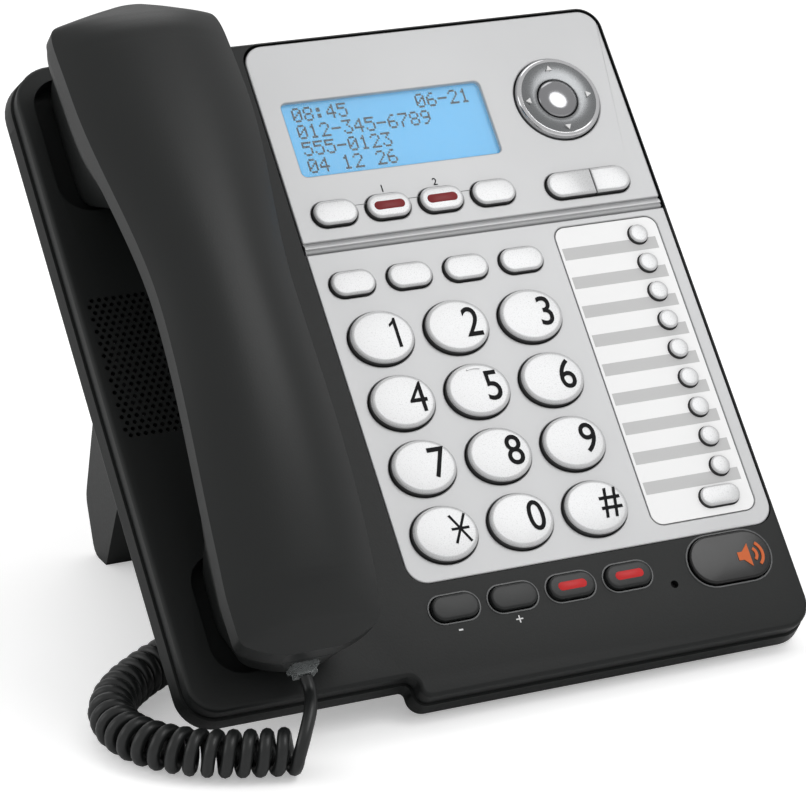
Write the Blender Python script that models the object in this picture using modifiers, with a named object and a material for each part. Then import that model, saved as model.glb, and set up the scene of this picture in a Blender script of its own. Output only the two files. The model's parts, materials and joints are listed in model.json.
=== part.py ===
# A two-line desk telephone: a wedge-shaped base on a desk stand, a tilting display,
# sprung keys, and a handset on a curly cord.
# Metres, +Z up, the phone faces -Y. Most pieces are placed on the deck: the sloping top face,
# x to the right, y up the slope from its front edge, z out of it.
import bpy
import bmesh
import numpy as np
from math import acos, atan2, ceil, cos, pi, radians, sin, sqrt, tan
from mathutils import Matrix, Vector

for old in list(bpy.data.objects):
    bpy.data.objects.remove(old, do_unlink=True)

# Stance of the deck over the desk
TILT = radians(47.2)
DECK_LIFT = 0.0092

# Clearances and general thicknesses
GAP = 0.0003
KEY_GAP = 0.00035
OVERRUN = 0.0010
WALL = 0.0020

# Body outline, seen square to the deck
BODY_WIDTH = 0.1912
BODY_LENGTH = 0.2078
LEFT_SETBACK = 0.0070
STEP_X = -0.0300
TOP_LEFT_RADIUS = 0.0160
TOP_RIGHT_RADIUS = 0.0075
FRONT_RADIUS = 0.0085
STEP_RADIUS = 0.0030
EDGE_ROUND = 0.0012
# The deck's rounded edge: depth and inset, both of EDGE_ROUND
EDGE_SHARES = [(1.0, 0.2), (0.25, 0.5), (0.0, 1.0)]
UPPER_SKIRT = 0.0052
LOWER_RIM = 0.0110
RIM_INSET = 0.0004
FLARE = 0.0015

# Underside of the body
BELLY_DEPTH = 0.0320
BELLY_SIDE_INSET = 0.0070
BELLY_FRONT = 0.0260
BELLY_BACK = 0.1620
BELLY_DRAFT = 0.0060
BELLY_RADIUS = 0.0060

# Keypad plate and display, both silver
PLATE_LEFT = -0.0235
PLATE_RIGHT = 0.0930
PLATE_FRONT = 0.0325
PLATE_RADIUS = 0.0063
PLATE_THICK = 0.0016
PLATE_BEVEL = 0.0004
LEDGE_WIDTH = 0.0022
LEDGE_THICK = 0.0016
HINGE_Y = 0.1390
BARREL_RADIUS = 0.00175
PIN_RADIUS = 0.0009
PIN_LENGTH = 0.0016
DISPLAY_BACK = 0.2051
DISPLAY_DEPTH = 0.0070
DISPLAY_WALL = 0.0012
DISPLAY_INSET = 0.0009
WELL_FLOOR = 0.0010
WELL_WALL = 0.0012

# Display window and its module
WINDOW_CENTRE = (0.0157, 0.1743)
WINDOW_SIZE = (0.0647, 0.0243)
WINDOW_RADIUS = 0.0016
WINDOW_THICK = 0.0012
LCD_MARGIN = 0.0022
MODULE_THICK = 0.0010

# Keys
KEY_TRAVEL = 0.0010
FLANGE_WIDTH = 0.0008
FLANGE_THICK = 0.0009
KEY_PITCH = (0.0240, 0.02068)
KEYPAD_CENTRE = (0.0149, 0.0870)
DIGIT_RADII = (0.0099, 0.00835)
DIGIT_RISE = 0.0017
PILL_SIZE = (0.0138, 0.0077)
PILL_RISE = 0.0013
UPPER_ROW = (-0.0124, 0.12605, 0.01819)
LINE_ROW = (-0.01087, 0.1490, 0.01717)
BLACK_PILL_SIZE = (0.0146, 0.0074)
BLACK_ROW = (-0.0130, 0.0240, 0.01834)
CANCEL_MENU_CENTRE = (0.0722, 0.1482)
CANCEL_MENU_SIZE = (0.0276, 0.0082)
CANCEL_SHARE = 0.55
SPEAKER_CENTRE = (0.0754, 0.0238)
SPEAKER_SIZE = (0.0262, 0.0148)
SPEAKER_RISE = 0.0014
LOWER_KEY_CENTRE = (0.0792, 0.0432)
LOWER_KEY_SIZE = (0.0128, 0.0062)
MEMORY_X = 0.0823
MEMORY_TOP = 0.1291
MEMORY_PITCH = 0.0096
MEMORY_COUNT = 9
MEMORY_RADIUS = 0.0028
MEMORY_RISE = 0.0010
# A cap over its stem: inset and rise, both of the key's rise
STEM_SHARE = 0.55
CAP_SHARES = [(0.35, 0.33), (0.9, 0.12)]
NAV_CENTRE = (0.0718, 0.1772)
NAV_RADIUS = 0.0136
NAV_DOME_RADIUS = 0.0064
NAV_RISE = 0.0018
NAV_DISH = 0.0010
NAV_DOME_RISE = 0.0024
NAV_THICK = 0.0032
DOME_SHARES = [(0.0, 1.0), (0.45, 0.93), (0.85, 0.66), (1.0, 0.25)]
NECK_SHARE = 0.6
MIC_PLACE = (0.0557, 0.0191)
MIC_RADIUS = 0.0009

# Index card under a shallow recess of the plate
CARD_LEFT = 0.0558
CARD_RIGHT = 0.0893
CARD_FRONT = 0.0385
CARD_BACK = 0.1346
CARD_RADIUS = 0.0035
CARD_RECESS = 0.0008
CARD_THICK = 0.0004

# Key mat and main board
MAT_DEPTH = 0.0044
MAT_THICK = 0.0012
BOARD_THICK = 0.0014
BOARD_RIGHT = 0.0880
BOARD_FRONT = 0.0150
BOARD_BACK = 0.1340
POST_RADIUS = 0.0030
POST_INSET = 0.0060

# Cradle, beside the left edge: its pans as width, front and back
CRADLE_INSET = 0.0296
CRADLE_X = CRADLE_INSET - BODY_WIDTH / 2
EAR_PAN_SIZE = (0.0500, 0.1600, 0.2030)
EAR_PAN_DEPTH = 0.0065
MOUTH_PAN_SIZE = (0.0406, 0.0165, 0.0520)
MOUTH_PAN_DEPTH = 0.0055
PAN_RADIUS = 0.0090
PLUNGER_Y = 0.1700
PLUNGER_SIZE = (0.0080, 0.0060)
PLUNGER_LENGTH = 0.0090
COLLAR_WALL = 0.0014
COLLAR_DEPTH = 0.0050

# Loudspeaker and its grille, under the cradle
SPEAKER_Y = 0.1100
CONE_RADIUS = 0.0240
CONE_DEPTH = 0.0125
MAGNET_RADIUS = 0.0110
MAGNET_DEPTH = 0.0075
RIM_THICK = 0.0015
CONE_SHARES = [(0.0, 0.35), (0.39, 0.45), (0.88, 0.05), (0.90, 0.0)]
GRILLE_PITCH = 0.0062
GRILLE_HOLE = 0.0015
GRILLE_ROWS = 7
GRILLE_COLUMNS = 6
GRILLE_SLANT_SHARE = 0.5
BOARD_CLEARANCE = 0.0025
BOARD_LEFT = CRADLE_X + CONE_RADIUS + BOARD_CLEARANCE

# Jacks
PLUG_SIZE = (0.0076, 0.0062)
PLUG_LENGTH = 0.0115
PLUG_SEAT = 0.0085
PLUG_NOSE = 0.0017
PLUG_STEP = 0.0008
LINE_JACK_SIZE = (0.0118, 0.0090)
LINE_JACK_DEPTH = 0.0110
LINE_JACK_X = (0.0200, 0.0400)
POWER_JACK_X = 0.0600
POWER_JACK_RADIUS = 0.0032
JACK_WALL = 0.0016
JACK_HEIGHT_SHARE = 0.3
BASE_JACK = (0.0150, 0.1000)
HEADSET_JACK_Y = 0.0600
HEADSET_JACK_RADIUS = 0.0016

# Desk stand, side profile over the desk (y back from the deck's front edge, z up)
STAND_WIDTH = 0.1338
STAND_WALL = 0.0024
STAND_FOOT_Y = 0.1550
STAND_HEEL = (0.1665, 0.0170)
STAND_SHOULDER = (0.1570, 0.0480)
STAND_HEEL_RADIUS = 0.0080
STAND_BACK_TOP_Y = 0.1455
STAND_FRONT_TOP_Y = 0.1270
STAND_ARCH_WIDTH = 0.0900
STAND_ARCH_HEIGHT = 0.0220
STAND_ARCH_RADIUS = 0.0100
STAND_FOOT_FLAT = 0.0050
CLIP_WIDTH = 0.0140
CLIP_THICK = 0.0024
CLIP_REACH = 0.0036
CLIP_X = 0.0450

# Rubber foot strip under the front edge
FOOT_STRIP_LENGTH = 0.0900
FOOT_STRIP_X = 0.0300
FOOT_STRIP_FRONT = 0.0040
FOOT_STRIP_BACK = 0.0120

# Handset, seen square to the deck; heights are over the deck
HANDSET_FRONT = 0.0125
HANDSET_BACK = 0.2074
HANDSET_EAR_WIDTH = 0.0516
HANDSET_GRIP_WIDTH = 0.0396
HANDSET_MOUTH_WIDTH = 0.0437
HANDSET_EDGE_TOP = 0.0362
HANDSET_EDGE_MOUTH = 0.0215
HANDSET_EDGE_EAR = 0.0280
HANDSET_TOP_Y = 0.1120
HANDSET_CROWN = 0.0085
HANDSET_BAND = 0.0062
HANDSET_GRIP_DEPTH = 0.0115
HANDSET_WALL = 0.0020
HANDSET_STEP = 0.0008
HANDSET_SLEEVE = 0.0012
HANDSET_SLEEVE_START = 0.0024
EAR_START = 0.1480
EAR_FLAT = 0.1680
EAR_WIDE = 0.1780
MOUTH_START = 0.0620
MOUTH_FLAT = 0.0440
CAPSULE_RADIUS = 0.0105
CAPSULE_DEPTH = 0.0060
MIC_CAPSULE_RADIUS = 0.0050
MIC_CAPSULE_DEPTH = 0.0040
SOUND_HOLE = 0.0010
SOUND_RING = 0.0060
# A capsule's rounded back: radius and height
CAPSULE_SHARES = [(0.7, 1.0), (1.0, 0.6)]
# Across a section: (half width, rise over the edge), then (half width, depth under the seam)
CROWN_SHARES = [(0.42, 0.86), (0.78, 0.45)]
UNDER_SHARES = [(1.0, 0.10), (0.87, 0.34), (0.72, 1.0)]
# How much less the edge drops than the wall, inside the shells
EDGE_WALL_SHARE = 0.33
# Towards each end: place along the length, draw-in of the width, lift of the underside, height of the crown
EAR_END_SHARES = [(0.0, 0.330, 0.55, 0.0), (0.005, 0.225, 0.50, 0.16), (0.012, 0.125, 0.40, 0.35),
                  (0.0185, 0.050, 0.30, 0.50), (0.0265, 0.020, 0.20, 0.67), (0.041, 0.006, 0.08, 0.88),
                  (0.075, 0.0, 0.0, 1.0)]
MOUTH_END_SHARES = [(0.0, 0.270, 0.55, 0.0), (0.0056, 0.190, 0.50, 0.12), (0.0133, 0.112, 0.45, 0.26),
                    (0.021, 0.055, 0.40, 0.38), (0.0285, 0.030, 0.36, 0.50), (0.041, 0.020, 0.30, 0.66),
                    (0.075, 0.008, 0.12, 0.90), (0.105, 0.0, 0.0, 1.0)]
SEAM_POINTS = 22
SEAM_REACH = 0.0200

# Curly cord
CORD_DIAMETER = 0.0037
CURL_DIAMETER = 0.0134
CURL_POINTS = 8
CURL_COUNT = 47.5
LEAST_CORD_GAP = 0.0004
HANDSET_PLUG_HEIGHT = 0.0102
CORD_PIECES = ("handset_cord", "handset_plug", "base_plug")
STRAIGHT_SHARE = 1.2
CORD_STEP_SHARE = 0.8
# The curls' way over the desk, chosen by hand: x from the cradle's middle, y from the deck's front edge
COIL_ROUTE = [
    (-0.0075, -0.0120), (-0.0190, -0.0082), (-0.0295, -0.0032), (-0.0376, 0.0038), (-0.0428, 0.0120),
    (-0.0450, 0.0212), (-0.0440, 0.0305), (-0.0402, 0.0388), (-0.0345, 0.0460), (-0.0275, 0.0522),
    (-0.0200, 0.0577), (-0.0080, 0.0647), (0.0080, 0.0712), (0.0260, 0.0757), (0.0440, 0.0800),
    (0.0620, 0.0860), (0.0780, 0.0945), (0.0905, 0.1050), (0.0995, 0.1170)]
# Ways from the plugs to the curls: x from the cradle's middle or from the base's jack, y and height as above
HANDSET_LEAD = [(-0.0002, -0.0082, 0.0150), (-0.0018, -0.0142, 0.0098)]
BASE_LEAD = [(0.0228, 0.1145, 0.0130), (0.0210, 0.1175, 0.0210), (0.0150, 0.1195, 0.0290),
             (0.0070, 0.1175, 0.0370), (0.0020, 0.1110, 0.0450)]

# Sides of round shapes
DIGIT_SIDES = 14
SMALL_SIDES = 8
ROUND_SIDES = 20
PILL_SIDES = 6
ARC_SIDES = 3
SHARP_ANGLE = radians(35)
MERGE_DISTANCE = 0.0000008

PHONE = bpy.data.collections.new("two_line_telephone")
CUTTERS = bpy.data.collections.new("cutters")
bpy.context.scene.collection.children.link(PHONE)
bpy.context.scene.collection.children.link(CUTTERS)

LOOKS = {
    "black": ((0.020, 0.022, 0.022), 0.48, 0.0),
    "gloss_black": ((0.012, 0.012, 0.013), 0.12, 0.0),
    "silver": ((0.62, 0.63, 0.64), 0.32, 0.55),
    "key": ((0.66, 0.67, 0.68), 0.28, 0.35),
    "smoke": ((0.10, 0.105, 0.11), 0.25, 0.80),
    "chrome": ((0.80, 0.80, 0.81), 0.10, 1.0),
    "clear": ((0.75, 0.85, 0.88), 0.05, 0.0),
    "lcd": ((0.12, 0.55, 0.80), 0.30, 0.0),
    "card": ((0.88, 0.88, 0.88), 0.50, 0.0),
    "board": ((0.03, 0.22, 0.08), 0.50, 0.0),
    "rubber": ((0.05, 0.05, 0.05), 0.80, 0.0),
    "grey_rubber": ((0.35, 0.35, 0.36), 0.75, 0.0),
    "steel": ((0.45, 0.45, 0.46), 0.35, 0.90),
}


def empty(name, parent=None, place=(0, 0, 0), turn=0.0):
    """A guide that carries pieces; turn is about its own X."""
    made = bpy.data.objects.new(name, None)
    PHONE.objects.link(made)
    made.parent = parent
    made.location = place
    made.rotation_euler = (turn, 0, 0)
    return made


phone = empty("phone")
deck = empty("deck", phone, (0, 0, DECK_LIFT), TILT)
display_hinge = empty("display_hinge", deck, (0, HINGE_Y, -BARREL_RADIUS))
handset = empty("handset", deck, (CRADLE_X, 0, 0))


def finish(made, look):
    """Give a piece its own plain material."""
    colour, roughness, metallic = LOOKS[look]
    material = bpy.data.materials.new(made.name)
    material.use_nodes = True
    shader = material.node_tree.nodes["Principled BSDF"]
    shader.inputs["Base Color"].default_value = (*colour, 1)
    shader.inputs["Roughness"].default_value = roughness
    shader.inputs["Metallic"].default_value = metallic
    made.data.materials.clear()
    made.data.materials.append(material)


def add(name, mesh, look=None, parent=deck, place=(0, 0, 0)):
    """Put a mesh in the model as a piece or, with no look, as a cutter."""
    made = bpy.data.objects.new(name, mesh)
    (PHONE if look else CUTTERS).objects.link(made)
    made.parent = parent
    made.location = place
    if look:
        mesh.shade_smooth()
        mesh.set_sharp_from_angle(angle=SHARP_ANGLE)
        finish(made, look)
    else:
        made.hide_render = True
        made.display_type = "WIRE"
    return made


def boolean(target, tool, operation):
    step = target.modifiers.new(operation.lower(), "BOOLEAN")
    step.object = tool
    step.operation = operation
    step.solver = "EXACT"


def cut(target, tool):
    boolean(target, tool, "DIFFERENCE")


def join(target, tool):
    boolean(target, tool, "UNION")


def arc(centre, radius, start, end, sides):
    """Points along an arc, both ends included."""
    turns = np.linspace(start, end, sides + 1)
    return [(centre[0] + radius * cos(t), centre[1] + radius * sin(t)) for t in turns]


def rounded(corners, sides=ARC_SIDES):
    """An outline from (x, y, radius) corners, anticlockwise, with round corners."""
    points = []
    for i, (x, y, radius) in enumerate(corners):
        here = Vector((x, y))
        before = (Vector(corners[i - 1][:2]) - here).normalized()
        after = (Vector(corners[(i + 1) % len(corners)][:2]) - here).normalized()
        if not radius:
            points.append((x, y))
            continue
        half = acos(max(-1, min(1, before.dot(after)))) / 2
        centre = here + (before + after).normalized() * radius / sin(half)
        left_turn = before.cross(after) < 0
        first = here + before * radius / tan(half) - centre
        last = here + after * radius / tan(half) - centre
        start = atan2(first.y, first.x)
        end = atan2(last.y, last.x)
        if left_turn and end < start:
            end += 2 * pi
        if not left_turn and end > start:
            end -= 2 * pi
        points += arc(centre, radius, start, end, sides)
    return points


def box(left, right, front, back, radius=0.0, sides=ARC_SIDES):
    corners = [(left, front), (right, front), (right, back), (left, back)]
    return rounded([(*corner, radius) for corner in corners], sides)


def centred_box(centre, size, radius=0.0, sides=ARC_SIDES):
    x, y = centre
    return box(x - size[0] / 2, x + size[0] / 2, y - size[1] / 2, y + size[1] / 2, radius, sides)


def oval(centre, radii, sides):
    return [(centre[0] + radii[0] * cos(t), centre[1] + radii[1] * sin(t))
            for t in np.arange(sides) * 2 * pi / sides]


def grown(size, by):
    return (size[0] + 2 * by, size[1] + 2 * by)


def raise_outline(bm, outline, bottom, steps):
    """Stand an outline up: each step is a rise, or an inset with a rise."""
    face = bm.faces.new([bm.verts.new((x, y, bottom)) for x, y in outline])
    lone = True
    for inset, rise in steps:
        if inset:
            bmesh.ops.inset_region(bm, faces=[face], thickness=inset, depth=0, use_even_offset=True)
            bmesh.ops.translate(bm, verts=face.verts, vec=(0, 0, rise))
            continue
        lifted = bmesh.ops.extrude_face_region(bm, geom=[face], use_keep_orig=lone)["geom"]
        if not lone:
            bmesh.ops.delete(bm, geom=[face], context="FACES_ONLY")
        lone = False
        verts = [part for part in lifted if isinstance(part, bmesh.types.BMVert)]
        bmesh.ops.translate(bm, verts=verts, vec=(0, 0, rise))
        face = [part for part in lifted if isinstance(part, bmesh.types.BMFace)][0]


def mesh_of(bm, name):
    bmesh.ops.recalc_face_normals(bm, faces=bm.faces)
    if bm.calc_volume(signed=True) < 0:
        bmesh.ops.reverse_faces(bm, faces=bm.faces)
    mesh = bpy.data.meshes.new(name)
    bm.to_mesh(mesh)
    bm.free()
    return mesh


def standing(name, shapes):
    """One mesh from shapes that stand apart: (outline, bottom, top) or (outline, bottom, steps)."""
    bm = bmesh.new()
    for outline, bottom, top in shapes:
        steps = top if isinstance(top, list) else [(0, top - bottom)]
        raise_outline(bm, outline, bottom, steps)
    return mesh_of(bm, name)


def loft(name, rings):
    """Skin closed rings of points, each ring with as many points, and cap both ends."""
    bm = bmesh.new()
    rows = [[bm.verts.new(point) for point in ring] for ring in rings]
    for low, high in zip(rows, rows[1:]):
        for i in range(len(low)):
            bm.faces.new((low[i - 1], low[i], high[i], high[i - 1]))
    bm.faces.new(rows[0])
    bm.faces.new(rows[-1])
    return mesh_of(bm, name)


def turned(name, profile, sides, look, parent, place, ring=False):
    """A solid of revolution; the profile runs down its outer side, from axis to axis, or round a ring."""
    mesh = bpy.data.meshes.new(name)
    edges = [(i, i + 1) for i in range(len(profile) - 1)]
    if ring:
        edges.append((len(profile) - 1, 0))
    mesh.from_pydata([(r, 0, z) for r, z in profile], edges, [])
    made = add(name, mesh, look, parent, place)
    screw = made.modifiers.new("turn", "SCREW")
    screw.steps = screw.render_steps = sides
    screw.use_merge_vertices = True
    screw.merge_threshold = MERGE_DISTANCE
    screw.use_smooth_shade = True
    return made


def body_outline(inset=0.0):
    """The body's plan: the left part, under the handset, ends short of the right one."""
    half = BODY_WIDTH / 2 - inset
    return rounded([
        (-half, LEFT_SETBACK + inset, FRONT_RADIUS - inset),
        (STEP_X + inset, LEFT_SETBACK + inset, STEP_RADIUS + inset),
        (STEP_X + inset, inset, STEP_RADIUS - inset),
        (half, inset, FRONT_RADIUS - inset),
        (half, BODY_LENGTH - inset, TOP_RIGHT_RADIUS - inset),
        (-half, BODY_LENGTH - inset, TOP_LEFT_RADIUS - inset),
    ])


def levels(outline_at, rows):
    """Rings of an outline at (depth under the deck, inset) rows, for a loft."""
    return [[(x, y, -depth) for x, y in outline_at(inset)] for depth, inset in rows]


# Places of the keys on the deck
DIGIT_NAMES = ["1", "2", "3", "4", "5", "6", "7", "8", "9", "star", "0", "pound"]
DIGIT_PLACES = [(KEYPAD_CENTRE[0] + column * KEY_PITCH[0], KEYPAD_CENTRE[1] + row * KEY_PITCH[1])
                for row in (1, 0, -1, -2) for column in (-1, 0, 1)]
UPPER_NAMES = ["redial_key", "flash_key", "pause_key", "remove_key"]
LINE_NAMES = ["conference_key", "line_1_key", "line_2_key", "hold_key"]
BLACK_NAMES = ["volume_down_key", "volume_up_key", "headset_key", "mute_key"]


def row_places(row):
    return [(row[0] + i * row[2], row[1]) for i in range(4)]


MEMORY_PLACES = [(MEMORY_X, MEMORY_TOP - i * MEMORY_PITCH) for i in range(MEMORY_COUNT)]
UPPER_PLACES = row_places(UPPER_ROW)
LINE_PLACES = row_places(LINE_ROW)
BLACK_PLACES = row_places(BLACK_ROW)


def pill(centre, size, sides=PILL_SIDES):
    """A straight-sided outline with half-round ends."""
    radius = size[1] / 2
    reach = size[0] / 2 - radius
    x, y = centre
    right = arc((x + reach, y), radius, -pi / 2, pi / 2, sides)
    left = arc((x - reach, y), radius, pi / 2, 3 * pi / 2, sides)
    return right + left


# Depths under the deck's face
PLATE_POCKET = PLATE_THICK + GAP
LEDGE_DEPTH = PLATE_POCKET + LEDGE_THICK
WELL_DEPTH = DISPLAY_DEPTH + 2 * GAP
DISPLAY_FRONT = HINGE_Y + BARREL_RADIUS
KEYPAD_BACK = HINGE_Y - BARREL_RADIUS - GAP


def panel(left, right, front, back, front_radius, back_radius):
    """A rectangle with its own radius at each end; the hinge's end is square."""
    return rounded([(left, front, front_radius), (right, front, front_radius),
                    (right, back, back_radius), (left, back, back_radius)])


def pan(size):
    """A cradle pan's limits on the deck."""
    width, front, back = size
    return (CRADLE_X - width / 2, CRADLE_X + width / 2, front, back)


def widened(limits, by):
    left, right, front, back = limits
    return (left - by, right + by, front - by, back + by)


# Upper housing
def upper_housing():
    rows = [(UPPER_SKIRT, 0)] + [(EDGE_ROUND * deep, EDGE_ROUND * inset) for deep, inset in EDGE_SHARES]
    shell = add("upper_housing", loft("upper_housing", levels(body_outline, rows)), "black")
    inner = levels(body_outline, [(UPPER_SKIRT + OVERRUN, WALL), (WALL, WALL)])
    cut(shell, add("upper_hollow", loft("upper_hollow", inner)))

    # Added under the deck: the cradle pans, the display's well, the ledge and the speaker's ring
    pans = [(box(*widened(pan(size), WALL), PAN_RADIUS + WALL), -depth - WALL, -WALL / 2)
            for size, depth in ((EAR_PAN_SIZE, EAR_PAN_DEPTH), (MOUTH_PAN_SIZE, MOUTH_PAN_DEPTH))]
    join(shell, add("cradle_pans", standing("cradle_pans", pans)))
    well = (PLATE_LEFT - 2 * GAP, PLATE_RIGHT + 2 * GAP, KEYPAD_BACK, DISPLAY_BACK + 2 * GAP)
    well_radius = PLATE_RADIUS + 2 * GAP
    left, right, front, back = widened(well, WELL_WALL)
    block = panel(left - WELL_WALL, right, front, back, 0, well_radius + WELL_WALL)
    join(shell, add("well_block", standing("well_block", [(block, -WELL_DEPTH - WELL_FLOOR, -WALL / 2)])))
    ledge = box(PLATE_LEFT - WALL, PLATE_RIGHT + WALL / 2, PLATE_FRONT - WALL, KEYPAD_BACK - WELL_WALL / 2,
                PLATE_RADIUS)
    join(shell, add("ledge_block", standing("ledge_block", [(ledge, -LEDGE_DEPTH, -WALL / 2)])))
    collar = centred_box((CRADLE_X, PLUNGER_Y), grown(PLUNGER_SIZE, GAP + COLLAR_WALL))
    collar_foot = -EAR_PAN_DEPTH - WALL - COLLAR_DEPTH
    collar = standing("plunger_collar", [(collar, collar_foot, -EAR_PAN_DEPTH - WALL / 2)])
    join(shell, add("plunger_collar", collar))
    ring_radius = CONE_RADIUS + GAP + COLLAR_WALL
    ring = oval((CRADLE_X, SPEAKER_Y), (ring_radius, ring_radius), ROUND_SIDES)
    join(shell, add("speaker_ring", standing("speaker_ring", [(ring, -UPPER_SKIRT, -WALL / 2)])))

    # Cut away: pans, well, plate pocket, the speakerphone key's room, and everything that passes the deck
    cone = (CONE_RADIUS + GAP, CONE_RADIUS + GAP)
    pockets = [
        (box(*pan(EAR_PAN_SIZE), PAN_RADIUS), -EAR_PAN_DEPTH, OVERRUN),
        (box(*pan(MOUTH_PAN_SIZE), PAN_RADIUS), -MOUTH_PAN_DEPTH, OVERRUN),
        (panel(*well, 0, well_radius), -WELL_DEPTH, OVERRUN),
        (oval((CRADLE_X, SPEAKER_Y), cone, ROUND_SIDES), -UPPER_SKIRT - OVERRUN, -WALL),
        (pill(SPEAKER_CENTRE, grown(SPEAKER_SIZE, FLANGE_WIDTH + GAP)), -UPPER_SKIRT, -WALL),
    ]
    cut(shell, add("deck_pockets", standing("deck_pockets", pockets)))
    limits = (PLATE_LEFT, PLATE_RIGHT, PLATE_FRONT, KEYPAD_BACK + BARREL_RADIUS)
    left, right, front, back = widened(limits, GAP)
    pocket = panel(left, right, front, back, PLATE_RADIUS + GAP, 0)
    cut(shell, add("plate_pocket", standing("plate_pocket", [(pocket, -PLATE_POCKET, OVERRUN)])))
    window = box(PLATE_LEFT + LEDGE_WIDTH, PLATE_RIGHT - LEDGE_WIDTH, PLATE_FRONT + LEDGE_WIDTH,
                 KEYPAD_BACK - LEDGE_WIDTH, PLATE_RADIUS - LEDGE_WIDTH)
    below = -LEDGE_DEPTH - OVERRUN
    through = [(window, below, 0)]
    through += [(pill(place, grown(BLACK_PILL_SIZE, KEY_GAP)), below, OVERRUN) for place in BLACK_PLACES]
    plunger_hole = centred_box((CRADLE_X, PLUNGER_Y), grown(PLUNGER_SIZE, GAP))
    through += [(pill(SPEAKER_CENTRE, grown(SPEAKER_SIZE, KEY_GAP)), below, OVERRUN),
                (oval(MIC_PLACE, (MIC_RADIUS, MIC_RADIUS), SMALL_SIDES), below, OVERRUN),
                (plunger_hole, collar_foot - OVERRUN, -EAR_PAN_DEPTH + OVERRUN)]
    cut(shell, add("deck_holes", standing("deck_holes", through)))
    cut(shell, add("grille_holes", standing("grille_holes", grille())))
    far = PLATE_RIGHT - GAP + PIN_LENGTH + GAP
    near = PLATE_LEFT + GAP - PIN_LENGTH - GAP
    bore = PIN_RADIUS + GAP
    pins = turned("hinge_holes", [(0, far), (bore, far), (bore, near), (0, near)], SMALL_SIDES, None, deck,
                  (0, HINGE_Y, -BARREL_RADIUS))
    pins.rotation_euler = (0, pi / 2, 0)
    cut(shell, pins)


def grille():
    """Small holes over the loudspeaker, in slanting rows within its cone."""
    holes = []
    for row in range(GRILLE_ROWS):
        for column in range(GRILLE_COLUMNS):
            slant = GRILLE_SLANT_SHARE * (row % 2)
            x = CRADLE_X + (column - (GRILLE_COLUMNS - 1) / 2 + slant) * GRILLE_PITCH
            y = SPEAKER_Y + (row - (GRILLE_ROWS - 1) / 2) * GRILLE_PITCH * sqrt(3) / 2
            away = sqrt((x - CRADLE_X) ** 2 + (y - SPEAKER_Y) ** 2)
            if away < CONE_RADIUS - GRILLE_PITCH / 2:
                holes.append((oval((x, y), (GRILLE_HOLE, GRILLE_HOLE), 6), -WALL - OVERRUN, OVERRUN))
    return holes


upper_housing()


# Lower housing: a rim, a deep belly with the jack panel behind, and posts for the board
def belly_outline(grow, depth):
    """The belly's plan at a depth: drafted sides, and a back that runs plumb with the desk."""
    share = (depth - LOWER_RIM) / (BELLY_DEPTH - LOWER_RIM)
    half = BODY_WIDTH / 2 - BELLY_SIDE_INSET - BELLY_DRAFT * share + grow
    front = BELLY_FRONT + BELLY_DRAFT * share - grow
    back = BELLY_BACK + (BELLY_DEPTH - depth) * tan(TILT) + grow / cos(TILT)
    return box(-half, half, front, back, BELLY_RADIUS + grow)


def jack_place(x, up_share):
    """A place on the plumb jack panel: x, and a share of its height from the bottom."""
    depth = BELLY_DEPTH - (BELLY_DEPTH - LOWER_RIM) * up_share
    back = BELLY_BACK + (BELLY_DEPTH - depth) * tan(TILT)
    return Vector((x, back, -depth))


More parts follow.
